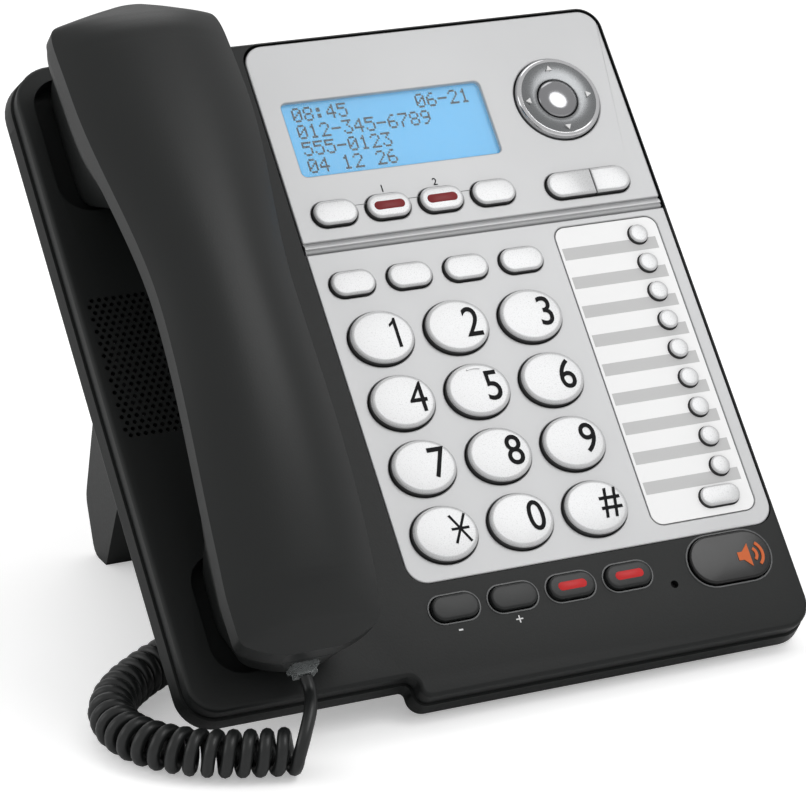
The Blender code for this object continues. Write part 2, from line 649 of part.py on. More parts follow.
def lower_housing():
    top = UPPER_SKIRT + GAP
    rows = [(LOWER_RIM, EDGE_ROUND - FLARE), (LOWER_RIM - EDGE_ROUND, -FLARE),
            (top, -FLARE * top / LOWER_RIM)]
    shell = add("lower_housing", loft("lower_housing", levels(body_outline, rows)), "black")
    depths = (BELLY_DEPTH, LOWER_RIM - WALL / 2)
    belly = [[(x, y, -depth) for x, y in belly_outline(0, depth)] for depth in depths]
    join(shell, add("belly", loft("belly", belly)))
    hollow = levels(body_outline, [(LOWER_RIM - WALL, RIM_INSET), (top - OVERRUN, RIM_INSET)])
    cut(shell, add("rim_hollow", loft("rim_hollow", hollow)))
    depths = (BELLY_DEPTH - WALL, LOWER_RIM - WALL - OVERRUN)
    hollow = [[(x, y, -depth) for x, y in belly_outline(-WALL, depth)] for depth in depths]
    cut(shell, add("belly_hollow", loft("belly_hollow", hollow)))

    # Posts under the main board
    board_under = MAT_DEPTH + MAT_THICK + GAP + BOARD_THICK
    spots = [(x, y) for x in (BOARD_LEFT + POST_INSET, BOARD_RIGHT - 3 * POST_INSET)
             for y in (BELLY_FRONT + 3 * POST_INSET, BOARD_BACK - POST_INSET)]
    post = (POST_RADIUS, POST_RADIUS)
    posts = [(oval(spot, post, SMALL_SIDES), -BELLY_DEPTH + WALL / 2, -board_under - GAP) for spot in spots]
    join(shell, add("board_posts", standing("board_posts", posts)))

    # Jack sleeves behind the plumb panel and under the belly, then their sockets
    sleeves = bmesh.new()
    sockets = bmesh.new()
    plumb = Matrix.Rotation(-TILT, 4, "X")
    wide, high = LINE_JACK_SIZE
    deep = LINE_JACK_DEPTH
    for x in LINE_JACK_X:
        place = Matrix.Translation(jack_place(x, JACK_HEIGHT_SHARE)) @ plumb
        block = (wide + 2 * JACK_WALL, deep + JACK_WALL, high + 2 * JACK_WALL)
        hole = (wide, deep + OVERRUN, high)
        for bm, size, shift in ((sleeves, block, -block[1] / 2 - GAP), (sockets, hole, (OVERRUN - deep) / 2)):
            placed = place @ Matrix.Translation((0, shift, 0)) @ Matrix.Diagonal((*size, 1))
            bmesh.ops.create_cube(bm, size=1, matrix=placed)
    place = Matrix.Translation(jack_place(POWER_JACK_X, JACK_HEIGHT_SHARE)) @ plumb
    place = place @ Matrix.Rotation(pi / 2, 4, "X")
    barrels = ((sleeves, POWER_JACK_RADIUS + JACK_WALL, deep + JACK_WALL, (deep + JACK_WALL) / 2 + GAP),
               (sockets, POWER_JACK_RADIUS, deep + OVERRUN, (deep - OVERRUN) / 2))
    for bm, radius, length, shift in barrels:
        bmesh.ops.create_cone(bm, cap_ends=True, segments=SMALL_SIDES, radius1=radius, radius2=radius,
                              depth=length, matrix=place @ Matrix.Translation((0, 0, shift)))
    seat = grown(PLUG_SIZE, GAP)
    sleeve = centred_box(BASE_JACK, grown(seat, JACK_WALL))
    raise_outline(sleeves, sleeve, -BELLY_DEPTH + GAP, [(0, PLUG_SEAT + JACK_WALL)])
    socket = centred_box(BASE_JACK, seat)
    raise_outline(sockets, socket, -BELLY_DEPTH - OVERRUN, [(0, PLUG_SEAT + GAP + OVERRUN)])
    clip = grown((CLIP_WIDTH, CLIP_THICK), GAP)
    for side in (-1, 1):
        spot = (side * CLIP_X, (STAND_FRONT_TOP_Y + STAND_BACK_TOP_Y) / 2)
        raise_outline(sockets, centred_box(spot, clip), -BELLY_DEPTH - OVERRUN, [(0, WALL + 2 * OVERRUN)])
    join(shell, add("jack_sleeves", mesh_of(sleeves, "jack_sleeves")))
    cut(shell, add("jack_sockets", mesh_of(sockets, "jack_sockets")))
    headset = bmesh.new()
    radius = HEADSET_JACK_RADIUS
    side = Matrix.Translation((BODY_WIDTH / 2, HEADSET_JACK_Y, -(UPPER_SKIRT + LOWER_RIM) / 2))
    bmesh.ops.create_cone(headset, cap_ends=True, segments=SMALL_SIDES, radius1=radius, radius2=radius,
                          depth=3 * WALL, matrix=side @ Matrix.Rotation(pi / 2, 4, "Y"))
    cut(shell, add("headset_socket", mesh_of(headset, "headset_socket")))


lower_housing()


# Keypad plate: a silver plate with holes for the keys and a recess for the index card
def plate():
    outline = panel(PLATE_LEFT, PLATE_RIGHT, PLATE_FRONT, KEYPAD_BACK, PLATE_RADIUS, 0)
    flat = [(0, PLATE_THICK - PLATE_BEVEL), (PLATE_BEVEL, PLATE_BEVEL)]
    made = add("keypad_plate", standing("keypad_plate", [(outline, -PLATE_THICK, flat)]), "silver")
    card = box(CARD_LEFT - GAP, CARD_RIGHT + GAP, CARD_FRONT - GAP, CARD_BACK + GAP, CARD_RADIUS)
    cut(made, add("card_recess", standing("card_recess", [(card, -CARD_RECESS, OVERRUN)])))
    under = -PLATE_THICK - OVERRUN
    digit_hole = tuple(radius + KEY_GAP for radius in DIGIT_RADII)
    holes = [(oval(place, digit_hole, DIGIT_SIDES), under, OVERRUN) for place in DIGIT_PLACES]
    holes += [(pill(place, grown(PILL_SIZE, KEY_GAP)), under, OVERRUN) for place in UPPER_PLACES]
    memory_hole = (MEMORY_RADIUS + KEY_GAP, MEMORY_RADIUS + KEY_GAP)
    holes += [(oval(place, memory_hole, SMALL_SIDES), under, OVERRUN) for place in MEMORY_PLACES]
    holes.append((pill(LOWER_KEY_CENTRE, grown(LOWER_KEY_SIZE, KEY_GAP)), under, OVERRUN))
    cut(made, add("plate_holes", standing("plate_holes", holes)))


def index_card():
    outline = box(CARD_LEFT, CARD_RIGHT, CARD_FRONT, CARD_BACK, CARD_RADIUS)
    bottom = -CARD_RECESS + GAP
    made = add("index_card", standing("index_card", [(outline, bottom, bottom + CARD_THICK)]), "card")
    hole = (MEMORY_RADIUS + KEY_GAP, MEMORY_RADIUS + KEY_GAP)
    holes = [(oval(place, hole, SMALL_SIDES), -CARD_RECESS, OVERRUN) for place in MEMORY_PLACES]
    holes.append((pill(LOWER_KEY_CENTRE, grown(LOWER_KEY_SIZE, KEY_GAP)), -CARD_RECESS, OVERRUN))
    cut(made, add("card_holes", standing("card_holes", holes)))


plate()
index_card()


# Display unit: a silver bezel with its hinge barrel, a back cover, the window and its module
def on_display(outline):
    """Deck places seen from the display's hinge, which carries the unit."""
    return [(x, y - HINGE_Y) for x, y in outline]


def display_unit():
    top = BARREL_RADIUS
    outline = panel(PLATE_LEFT, PLATE_RIGHT, DISPLAY_FRONT, DISPLAY_BACK, 0, PLATE_RADIUS)
    flat = [(0, PLATE_THICK - PLATE_BEVEL), (PLATE_BEVEL, PLATE_BEVEL)]
    bezel = standing("display_bezel", [(on_display(outline), top - PLATE_THICK, flat)])
    bezel = add("display_bezel", bezel, "silver", display_hinge)
    left = PLATE_LEFT + GAP
    right = PLATE_RIGHT - GAP
    pin = PIN_LENGTH
    profile = [(0, right + pin), (PIN_RADIUS, right + pin), (PIN_RADIUS, right), (BARREL_RADIUS, right),
               (BARREL_RADIUS, left), (PIN_RADIUS, left), (PIN_RADIUS, left - pin), (0, left - pin)]
    barrel = turned("hinge_barrel", profile, SMALL_SIDES, None, display_hinge, (0, 0, 0))
    barrel.rotation_euler = (0, pi / 2, 0)
    join(bezel, barrel)
    web = on_display(box(left, right, HINGE_Y, DISPLAY_FRONT + BARREL_RADIUS))
    web = standing("barrel_web", [(web, top - PLATE_THICK, top - PLATE_BEVEL)])
    join(bezel, add("barrel_web", web, None, display_hinge))
    under = top - PLATE_THICK - OVERRUN
    over = top + OVERRUN
    holes = [(on_display(pill(place, grown(PILL_SIZE, KEY_GAP))), under, over) for place in LINE_PLACES]
    holes.append((on_display(pill(CANCEL_MENU_CENTRE, grown(CANCEL_MENU_SIZE, KEY_GAP))), under, over))
    nav_hole = (NAV_RADIUS + KEY_GAP, NAV_RADIUS + KEY_GAP)
    holes.append((on_display(oval(NAV_CENTRE, nav_hole, ROUND_SIDES)), under, over))
    opening = centred_box(WINDOW_CENTRE, grown(WINDOW_SIZE, GAP), WINDOW_RADIUS)
    holes.append((on_display(opening), under, over))
    cut(bezel, add("bezel_holes", standing("bezel_holes", holes), None, display_hinge))

    window_top = top - (PLATE_THICK - WINDOW_THICK) / 2
    window = on_display(centred_box(WINDOW_CENTRE, WINDOW_SIZE, WINDOW_RADIUS))
    window = standing("display_window", [(window, window_top - WINDOW_THICK, window_top)])
    add("display_window", window, "clear", display_hinge)

    # The module: a board across the unit, with the display's frame on it
    board_top = top - PLATE_THICK - GAP - FLANGE_THICK - KEY_TRAVEL - 2 * GAP
    inset = DISPLAY_INSET + DISPLAY_WALL
    inner = widened((PLATE_LEFT, PLATE_RIGHT, DISPLAY_FRONT, DISPLAY_BACK), -inset)
    board = on_display(box(*widened(inner, -GAP), PLATE_RADIUS - inset))
    module = standing("display_module", [(board, board_top - MODULE_THICK, board_top)])
    module = add("display_module", module, "lcd", display_hinge)
    frame = on_display(centred_box(WINDOW_CENTRE, grown(WINDOW_SIZE, LCD_MARGIN)))
    frame = standing("lcd_block", [(frame, board_top - GAP, top - PLATE_THICK - GAP)])
    join(module, add("lcd_block", frame, None, display_hinge))

    # The back cover: a tray that carries the board
    tray_top = top - PLATE_THICK - GAP
    outer = widened((PLATE_LEFT, PLATE_RIGHT, DISPLAY_FRONT, DISPLAY_BACK), -DISPLAY_INSET)
    outline = on_display(box(*outer, PLATE_RADIUS - DISPLAY_INSET))
    tray = standing("display_back", [(outline, top - DISPLAY_DEPTH, tray_top)])
    tray = add("display_back", tray, "black", display_hinge)
    hollow = on_display(box(*inner, PLATE_RADIUS - inset))
    hollow = standing("tray_hollow", [(hollow, board_top - MODULE_THICK - GAP, tray_top + OVERRUN)])
    cut(tray, add("tray_hollow", hollow, None, display_hinge))


display_unit()


# Keys: a flange under the plate, a straight stem and a softened cap
def cap_steps(stem, rise):
    """From a stem's foot to the cap's crown."""
    return [(0, stem + rise * STEM_SHARE)] + [(rise * inset, rise * lift) for inset, lift in CAP_SHARES]


def key(name, outline, place, thick, rise, look, parent=deck, top=0.0):
    """A key whose flange lies under a plate of this thickness; its origin is on the plate's face."""
    bottom = -thick - GAP - FLANGE_THICK
    steps = [(0, FLANGE_THICK), (FLANGE_WIDTH, 0)] + cap_steps(GAP + thick, rise)
    mesh = standing(name, [(outline, bottom, steps)])
    return add(name, mesh, look, parent, (place[0], place[1], top))


def keys():
    flange = FLANGE_WIDTH
    digit = oval((0, 0), tuple(radius + flange for radius in DIGIT_RADII), DIGIT_SIDES)
    for label, place in zip(DIGIT_NAMES, DIGIT_PLACES):
        key("key_" + label, digit, place, PLATE_THICK, DIGIT_RISE, "key")
    silver = pill((0, 0), grown(PILL_SIZE, flange))
    for name, place in zip(UPPER_NAMES, UPPER_PLACES):
        key(name, silver, place, PLATE_THICK, PILL_RISE, "key")
    for name, (x, y) in zip(LINE_NAMES, LINE_PLACES):
        key(name, silver, (x, y - HINGE_Y), PLATE_THICK, PILL_RISE, "key", display_hinge, BARREL_RADIUS)
    black = pill((0, 0), grown(BLACK_PILL_SIZE, flange))
    for name, place in zip(BLACK_NAMES, BLACK_PLACES):
        key(name, black, place, WALL, PILL_RISE, "black")
    for number, place in enumerate(MEMORY_PLACES, 1):
        size = (MEMORY_RADIUS + flange, MEMORY_RADIUS + flange)
        key(f"memory_key_{number}", oval((0, 0), size, SMALL_SIDES), place, PLATE_THICK, MEMORY_RISE, "key")
    page = pill((0, 0), grown(LOWER_KEY_SIZE, flange))
    key("page_key", page, LOWER_KEY_CENTRE, PLATE_THICK, MEMORY_RISE, "key")
    speaker = pill((0, 0), grown(SPEAKER_SIZE, flange))
    key("speaker_key", speaker, SPEAKER_CENTRE, WALL, SPEAKER_RISE, "gloss_black")

    # Cancel and menu share one oblong hole, split by a fine gap
    length, height = CANCEL_MENU_SIZE
    split = length * CANCEL_SHARE
    wide = height / 2
    bottom = -PLATE_THICK - GAP - FLANGE_THICK
    steps = cap_steps(FLANGE_THICK + GAP + PLATE_THICK, PILL_RISE)
    halves = (("cancel_key", 0, split - KEY_GAP / 2, -1), ("menu_key", split + KEY_GAP / 2, length, 1))
    for name, start, end, way in halves:
        half = (end - start) / 2
        shape = arc((half - wide, 0), wide, -pi / 2, pi / 2, PILL_SIDES) + [(-half, wide), (-half, -wide)]
        shape = [(way * x, way * y) for x, y in shape]
        left = CANCEL_MENU_CENTRE[0] - length / 2
        place = (left + (start + end) / 2, CANCEL_MENU_CENTRE[1] - HINGE_Y, BARREL_RADIUS)
        made = add(name, standing(name, [(shape, bottom, steps)]), "key", display_hinge, place)
        reach = wide + (FLANGE_WIDTH - GAP) / 2
        tab = (half, FLANGE_WIDTH + GAP)
        tabs = [(centred_box((0, side * reach), tab), bottom, bottom + FLANGE_THICK) for side in (-1, 1)]
        join(made, add(name + "_tabs", standing(name + "_tabs", tabs), None, display_hinge, place))


keys()


# Navigation pad: a dished ring that rocks round a centre dome
def navigation_pad():
    place = (NAV_CENTRE[0], NAV_CENTRE[1] - HINGE_Y, BARREL_RADIUS)
    foot = -PLATE_THICK - GAP - FLANGE_THICK - KEY_TRAVEL - GAP
    neck = NAV_DOME_RADIUS * NECK_SHARE
    dome = [(NAV_DOME_RADIUS * out, NAV_DOME_RISE * up) for out, up in DOME_SHARES]
    dome += [(NAV_DOME_RADIUS, -NAV_DISH), (neck, -NAV_DISH - GAP), (neck, foot), (0, foot)]
    turned("nav_dome", dome, DIGIT_SIDES, "chrome", display_hinge, place)
    inner = NAV_DOME_RADIUS + GAP
    dish = NAV_RISE - NAV_DISH
    foot = NAV_RISE - NAV_THICK
    rim = NAV_RADIUS - NAV_RISE / 3
    ring = [(inner, dish), ((inner + NAV_RADIUS) / 2, dish), (rim - NAV_RISE / 2, NAV_RISE), (rim, NAV_RISE),
            (NAV_RADIUS, NAV_RISE / 2), (NAV_RADIUS, foot), (inner, foot)]
    turned("nav_ring", ring, ROUND_SIDES, "smoke", display_hinge, place, ring=True)


navigation_pad()


# Inside the base: the key mat, the main board, the loudspeaker and the hook plunger
def inside():
    board = box(BOARD_LEFT, BOARD_RIGHT, BOARD_FRONT, BOARD_BACK)
    mat = box(PLATE_LEFT + GAP, BOARD_RIGHT - GAP, BOARD_FRONT + GAP, BOARD_BACK - GAP, PLATE_RADIUS)
    add("key_mat", standing("key_mat", [(mat, -MAT_DEPTH - MAT_THICK, -MAT_DEPTH)]), "grey_rubber")
    top = -MAT_DEPTH - MAT_THICK - GAP
    add("main_board", standing("main_board", [(board, top - BOARD_THICK, top)]), "board")

    face = -WALL - GAP
    foot = face - CONE_DEPTH
    cone = [(CONE_RADIUS * out, face - CONE_DEPTH * down) for out, down in CONE_SHARES]
    cone += [(CONE_RADIUS, face), (CONE_RADIUS, face - RIM_THICK), (MAGNET_RADIUS + RIM_THICK, foot),
             (MAGNET_RADIUS, foot), (MAGNET_RADIUS, foot - MAGNET_DEPTH), (0, foot - MAGNET_DEPTH)]
    turned("loudspeaker", cone, ROUND_SIDES, "steel", deck, (CRADLE_X, SPEAKER_Y, 0))

    top = -EAR_PAN_DEPTH
    stem = centred_box((0, 0), PLUNGER_SIZE)
    steps = [(0, PLUNGER_LENGTH - GAP), (GAP, GAP)]
    plunger = standing("hook_plunger", [(stem, top - PLUNGER_LENGTH, steps)])
    add("hook_plunger", plunger, "black", deck, (CRADLE_X, PLUNGER_Y, 0))


inside()


# Handset: one closed form, split at its parting line into a back and a front shell
def blend(at, knots):
    """A smooth value between (place, value) knots."""
    places = [knot[0] for knot in knots]
    i = max(0, min(len(knots) - 2, int(np.searchsorted(places, at)) - 1))
    share = max(0.0, min(1.0, (at - places[i]) / (places[i + 1] - places[i])))
    share = share * share * (3 - 2 * share)
    return knots[i][1] + (knots[i + 1][1] - knots[i][1]) * share


def handset_edge(y):
    """Height of the crisp edge along the handset's back: one long arch."""
    end = HANDSET_FRONT if y < HANDSET_TOP_Y else HANDSET_BACK
    low = HANDSET_EDGE_MOUTH if y < HANDSET_TOP_Y else HANDSET_EDGE_EAR
    share = (y - HANDSET_TOP_Y) / (end - HANDSET_TOP_Y)
    return HANDSET_EDGE_TOP - (HANDSET_EDGE_TOP - low) * share * share


def handset_half(y):
    return blend(y, [(MOUTH_FLAT, HANDSET_MOUTH_WIDTH / 2), (HANDSET_TOP_Y, HANDSET_GRIP_WIDTH / 2),
                     (EAR_WIDE, HANDSET_EAR_WIDTH / 2)])


def handset_floor(y):
    """Height of the underside: it drops to the cradle's pans at both ends."""
    grip = handset_edge(y) - HANDSET_BAND - HANDSET_GRIP_DEPTH
    if y < (MOUTH_START + EAR_START) / 2:
        return blend(y, [(MOUTH_FLAT, -MOUTH_PAN_DEPTH + GAP), (MOUTH_START, grip)])
    return blend(y, [(EAR_START, grip), (EAR_FLAT, -EAR_PAN_DEPTH + GAP)])


def handset_ring(y, draw, lift, crown, wall):
    """One section: arched back, crisp edges, straight band, then the drawn-in front.
    draw narrows it towards an end, lift raises its underside, crown is the back's height,
    and wall shrinks it all round."""
    half = handset_half(y) - draw - wall
    edge = handset_edge(y)
    rise = HANDSET_CROWN * crown - wall
    seam = edge - HANDSET_BAND
    deep = (seam - handset_floor(y)) * (1 - lift) - wall
    step = half - HANDSET_STEP
    right = [(0, edge + rise)] + [(half * out, edge + rise * up) for out, up in CROWN_SHARES]
    right += [(half, edge - wall * EDGE_WALL_SHARE), (half, seam), (step, seam)]
    right += [(step * out, seam - deep * down) for out, down in UNDER_SHARES]
    ring = right + [(-x, z) for x, z in reversed(right) if x]
    return [(x, y, z) for x, z in ring]


def handset_form(name, wall):
    """Sections from the mouth end to the ear end; the end ones are drawn in to round it."""
    length = HANDSET_BACK - HANDSET_FRONT - 2 * wall
    rows = [(HANDSET_FRONT + wall + length * along, *shares) for along, *shares in MOUTH_END_SHARES]
    middle = [MOUTH_FLAT, (MOUTH_FLAT + MOUTH_START) / 2, MOUTH_START, (MOUTH_START + HANDSET_TOP_Y) / 2,
              HANDSET_TOP_Y, (HANDSET_TOP_Y + EAR_START) / 2, EAR_START, (EAR_START * 2 + EAR_FLAT) / 3,
              (EAR_START + EAR_FLAT * 2) / 3, EAR_FLAT]
    rows += [(y, 0, 0, 1) for y in middle]
    rows += [(HANDSET_BACK - wall - length * along, *shares) for along, *shares in reversed(EAR_END_SHARES)]
    rings = [handset_ring(y, draw * HANDSET_EAR_WIDTH, lift, crown, wall) for y, draw, lift, crown in rows]
    return loft(name, rings)


def seam_side(name, above, gap):
    """Everything over or under the parting line, as a wide sheet extruded across the handset."""
    far = HANDSET_EDGE_TOP * 2
    ys = np.linspace(HANDSET_FRONT - SEAM_REACH, HANDSET_BACK + SEAM_REACH, SEAM_POINTS)
    line = [(y, handset_edge(y) - HANDSET_BAND + (gap if above else -gap)) for y in ys]
    end = far if above else -far
    ring = line + [(ys[-1], end), (ys[0], end)]
    sides = (-HANDSET_EAR_WIDTH, HANDSET_EAR_WIDTH)
    return loft(name, [[(x, y, z) for y, z in ring] for x in sides])


def handset_shells():
    outer = handset_form("handset_outer", 0.0)
    back = add("handset_back_shell", outer, "black", handset)
    front = add("handset_front_shell", outer.copy(), "black", handset)
    hollow = add("handset_hollow", handset_form("handset_hollow", HANDSET_WALL), None, handset)
    cut(back, add("below_seam", seam_side("below_seam", False, -GAP / 2), None, handset))
    cut(front, add("above_seam", seam_side("above_seam", True, -GAP / 2), None, handset))
    cut(back, hollow)
    cut(front, hollow)
    ear_y = EAR_FLAT + CAPSULE_RADIUS + GAP
    mouth_y = MOUTH_FLAT - MIC_CAPSULE_RADIUS - GAP
    ear_floor = -EAR_PAN_DEPTH + GAP
    mouth_floor = -MOUTH_PAN_DEPTH + GAP
    turns = np.arange(6) * pi / 3
    hole = (SOUND_HOLE, SOUND_HOLE)
    ear_spots = [(0, ear_y)] + [(SOUND_RING * cos(t), ear_y + SOUND_RING * sin(t)) for t in turns]
    mouth_spots = [(share * SOUND_RING, mouth_y) for share in (-0.5, 0, 0.5)]
    holes = [(oval(spot, hole, 6), floor - OVERRUN, floor + 2 * HANDSET_WALL)
             for spots, floor in ((ear_spots, ear_floor), (mouth_spots, mouth_floor)) for spot in spots]
    cut(front, add("sound_holes", standing("sound_holes", holes), None, handset))
    seat = grown(PLUG_SIZE, GAP)
    end = HANDSET_FRONT + PLUG_SEAT + GAP
    sleeve = (grown(seat, HANDSET_SLEEVE), HANDSET_FRONT + HANDSET_SLEEVE_START, end + JACK_WALL)
    socket = (seat, HANDSET_FRONT - OVERRUN, end)
    for name, (size, near, far), step in (("plug_sleeve", sleeve, join), ("plug_socket", socket, cut)):
        ring = centred_box((0, HANDSET_PLUG_HEIGHT), size)
        step(front, add(name, loft(name, [[(x, y, z) for x, z in ring] for y in (near, far)]), None, handset))

    # Capsules on the inside of the front shell
    place = (0, ear_y, ear_floor + HANDSET_WALL + GAP)
    back_round = [(CAPSULE_RADIUS * out, CAPSULE_DEPTH * up) for out, up in CAPSULE_SHARES]
    turned("receiver_capsule", [(0, CAPSULE_DEPTH)] + back_round + [(CAPSULE_RADIUS, 0), (0, 0)],
           DIGIT_SIDES, "steel", handset, place)
    place = (0, mouth_y, mouth_floor + HANDSET_WALL + GAP)
    radius, depth = MIC_CAPSULE_RADIUS, MIC_CAPSULE_DEPTH
    turned("handset_microphone", [(0, depth), (radius, depth), (radius, 0), (0, 0)],
           SMALL_SIDES, "steel", handset, place)


handset_shells()


# Desk stand: a wedge with an arched front wall and two fins, open behind, clipped to the belly
def to_desk(y, z):
    """A deck place, seen from the side, in the desk's frame."""
    return (y * cos(TILT) - z * sin(TILT), DECK_LIFT + y * sin(TILT) + z * cos(TILT))


def across(name, outline, width, look=None, x=0.0):
    """A side profile (y, z) over the desk, made as wide as asked."""
    rings = [[(side * width / 2, y, z) for y, z in outline] for side in (-1, 1)]
    return add(name, loft(name, rings), look, phone, (x, 0, 0))


def desk_stand():
    seat = -BELLY_DEPTH - GAP
    front_top = Vector(to_desk(STAND_FRONT_TOP_Y, seat))
    back_top = Vector(to_desk(STAND_BACK_TOP_Y, seat))
    foot = Vector((STAND_FOOT_Y - STAND_FOOT_FLAT, 0))
    profile = rounded([(*foot, 0), (STAND_FOOT_Y + STAND_FOOT_FLAT, 0, STAND_FOOT_FLAT),
                       (*STAND_HEEL, STAND_HEEL_RADIUS), (*STAND_SHOULDER, STAND_HEEL_RADIUS),
                       (*back_top, 0), (*front_top, 0)])
    made = across("desk_stand", profile, STAND_WIDTH, "black")
    down = (foot - front_top).normalized()
    inward = Vector((-down.y, down.x)) * STAND_WALL
    along = (back_top - front_top).normalized()
    under = Vector((along.y, -along.x)) * STAND_WALL
    behind = Vector((STAND_WIDTH / 2, 0))
    rise = Vector((0, STAND_WALL))
    start = front_top + inward + under + along * STAND_WALL / 2
    end = foot + inward + rise + Vector((STAND_WALL / 2, 0))
    hollow = [end, end + behind, back_top + under + behind, back_top + under, start]
    cut(made, across("stand_hollow", [tuple(point) for point in hollow], STAND_WIDTH - 2 * STAND_WALL))
    arch = centred_box((0, 0), (STAND_ARCH_WIDTH, 2 * STAND_ARCH_HEIGHT), STAND_ARCH_RADIUS)
    rings = [[(x, STAND_FOOT_Y + side * STAND_WIDTH / 2, z) for x, z in arch] for side in (-1, 1)]
    cut(made, add("stand_arch", loft("stand_arch", rings), None, phone))
    clip_y = (STAND_FRONT_TOP_Y + STAND_BACK_TOP_Y) / 2
    clip = (CLIP_WIDTH, CLIP_THICK)
    clips = [(centred_box((side * CLIP_X, clip_y), clip), seat - STAND_WALL / 2, seat + CLIP_REACH)
             for side in (-1, 1)]
    join(made, add("stand_clips", standing("stand_clips", clips)))


def foot_strip():
    top = -LOWER_RIM - GAP
    front = to_desk(FOOT_STRIP_FRONT, top)
    back = to_desk(FOOT_STRIP_BACK, top)
    corners = [(front[0], 0), (back[0], 0), back, front]
    across("front_foot", corners, FOOT_STRIP_LENGTH, "rubber", FOOT_STRIP_X)


desk_stand()
foot_strip()


# Curly cord: one unbroken wire from the handset's plug to the base's plug
def smooth(points, step):
    """Points along a smooth curve through the given ones, about a step apart."""
    points = [np.array(point, float) for point in points]
    ends = [2 * points[0] - points[1]] + points + [2 * points[-1] - points[-2]]
    found = []
    for a, b, c, d in zip(ends, ends[1:], ends[2:], ends[3:]):
        count = max(1, ceil(np.linalg.norm(c - b) / step))
        for t in np.arange(count) / count:
            square = (2 * a - 5 * b + 4 * c - d) * t ** 2
            cube = (3 * b - a - 3 * c + d) * t ** 3
            found.append((2 * b + (c - a) * t + square + cube) / 2)
    return np.array(found + [points[-1]])


def coil(count):
    """Points along the curls, which follow the floor route; count is points a curl."""
    radius = (CURL_DIAMETER - CORD_DIAMETER) / 2
    axis = smooth([(CRADLE_X + x, y) for x, y in COIL_ROUTE], CORD_DIAMETER / count)
    runs = np.concatenate([[0], np.cumsum(np.linalg.norm(np.diff(axis, axis=0), axis=1))])
    total = ceil(CURL_COUNT * count)

    def at(run):
        return np.array([np.interp(run, runs, axis[:, side]) for side in range(2)])

    found = []
    for i in range(total + 1):
        run = runs[-1] * i / total
        way = at(run + CORD_DIAMETER) - at(run - CORD_DIAMETER)
        way = way / np.linalg.norm(way)
        turn = 2 * pi * CURL_COUNT * i / total
        side = np.array([-way[1], way[0]]) * cos(turn) * radius
        found.append((*(at(run) + side), CURL_DIAMETER / 2 + GAP - sin(turn) * radius))
    return found


def cord():
    out = GAP + PLUG_LENGTH - PLUG_SEAT
    start = np.array([CRADLE_X, *to_desk(HANDSET_FRONT - out, HANDSET_PLUG_HEIGHT)])
    start_way = np.array([0, -cos(TILT), -sin(TILT)])
    finish_at = np.array([BASE_JACK[0], *to_desk(BASE_JACK[1], -BELLY_DEPTH - out)])
    finish_way = np.array([0, sin(TILT), -cos(TILT)])
    straight = CORD_DIAMETER * STRAIGHT_SHARE

    def route(count):
        curls = coil(count)
        before = [start, start + start_way * straight] + [(CRADLE_X + x, y, z) for x, y, z in HANDSET_LEAD]
        after = [(BASE_JACK[0] + x, y, z) for x, y, z in BASE_LEAD]
        after += [finish_at + finish_way * straight, finish_at]
        step = CORD_DIAMETER * CORD_STEP_SHARE
        first = smooth(before + [np.array(curls[0])], step)[:-1]
        last = smooth([np.array(curls[-1])] + after, step)[1:]
        return np.concatenate([first, curls, last])

    fine = route(3 * CURL_POINTS)
    runs = np.concatenate([[0], np.cumsum(np.linalg.norm(np.diff(fine, axis=0), axis=1))])
    apart = np.linalg.norm(fine[:, None] - fine[None], axis=2)
    apart[np.abs(runs[:, None] - runs[None]) < CURL_DIAMETER] = CURL_DIAMETER
    gap = apart.min() - CORD_DIAMETER
    print(f"curly cord: {runs[-1]:.4f} m of wire, least gap to itself {gap * 1000:.2f} mm",
          "clear" if gap > LEAST_CORD_GAP else "TOO CLOSE")

    curve = bpy.data.curves.new("handset_cord", "CURVE")
    curve.dimensions = "3D"
    curve.bevel_depth = CORD_DIAMETER / 2
    curve.bevel_resolution = 1
    curve.use_fill_caps = True
    points = route(CURL_POINTS)
    spline = curve.splines.new("POLY")
    spline.points.add(len(points) - 1)
    for point, place in zip(spline.points, points):
        point.co = (*place, 1)
    made = bpy.data.objects.new("handset_cord", curve)
    PHONE.objects.link(made)
    made.parent = phone
    finish(made, "black")


def plugs():
    """Modular plugs: a block that seats in its jack, with a narrower nose for the cord."""
    steps = [(0, PLUG_LENGTH - PLUG_NOSE), (PLUG_STEP, 0), (0, PLUG_NOSE)]
    mesh = standing("modular_plug", [(centred_box((0, 0), PLUG_SIZE), 0, steps)])
    base = add("base_plug", mesh, "clear", deck, (*BASE_JACK, -BELLY_DEPTH + PLUG_SEAT))
    base.rotation_euler = (pi, 0, 0)
    place = (0, HANDSET_FRONT + PLUG_SEAT, HANDSET_PLUG_HEIGHT)
    other = add("handset_plug", mesh.copy(), "clear", handset, place)
    other.rotation_euler = (pi / 2, 0, 0)


cord()
plugs()


# The row's origin: the middle of the phone's footprint on the desk, without its cord
def centre_on_desk():
    bpy.context.view_layer.update()
    seen = bpy.context.evaluated_depsgraph_get()
    corners = []
    for piece in PHONE.objects:
        if piece.type == "MESH" and piece.name not in CORD_PIECES:
            mesh = piece.evaluated_get(seen).to_mesh()
            corners += [piece.matrix_world @ vertex.co for vertex in mesh.vertices]
    corners = np.array(corners)
    low, high = corners.min(axis=0), corners.max(axis=0)
    phone.location = (-(low[0] + high[0]) / 2, -(low[1] + high[1]) / 2, -low[2])
    bpy.context.view_layer.update()
    print("phone empty at", [round(value, 6) for value in phone.location])


centre_on_desk()
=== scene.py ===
# Finishes and fine shapes of a two-line desk telephone, in metres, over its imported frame.
# The sloping top face is called the deck: x to the right, y up the slope from its front edge, z out of it.
import json
from math import atan2, ceil, cos, pi, radians, sin, sqrt, tan

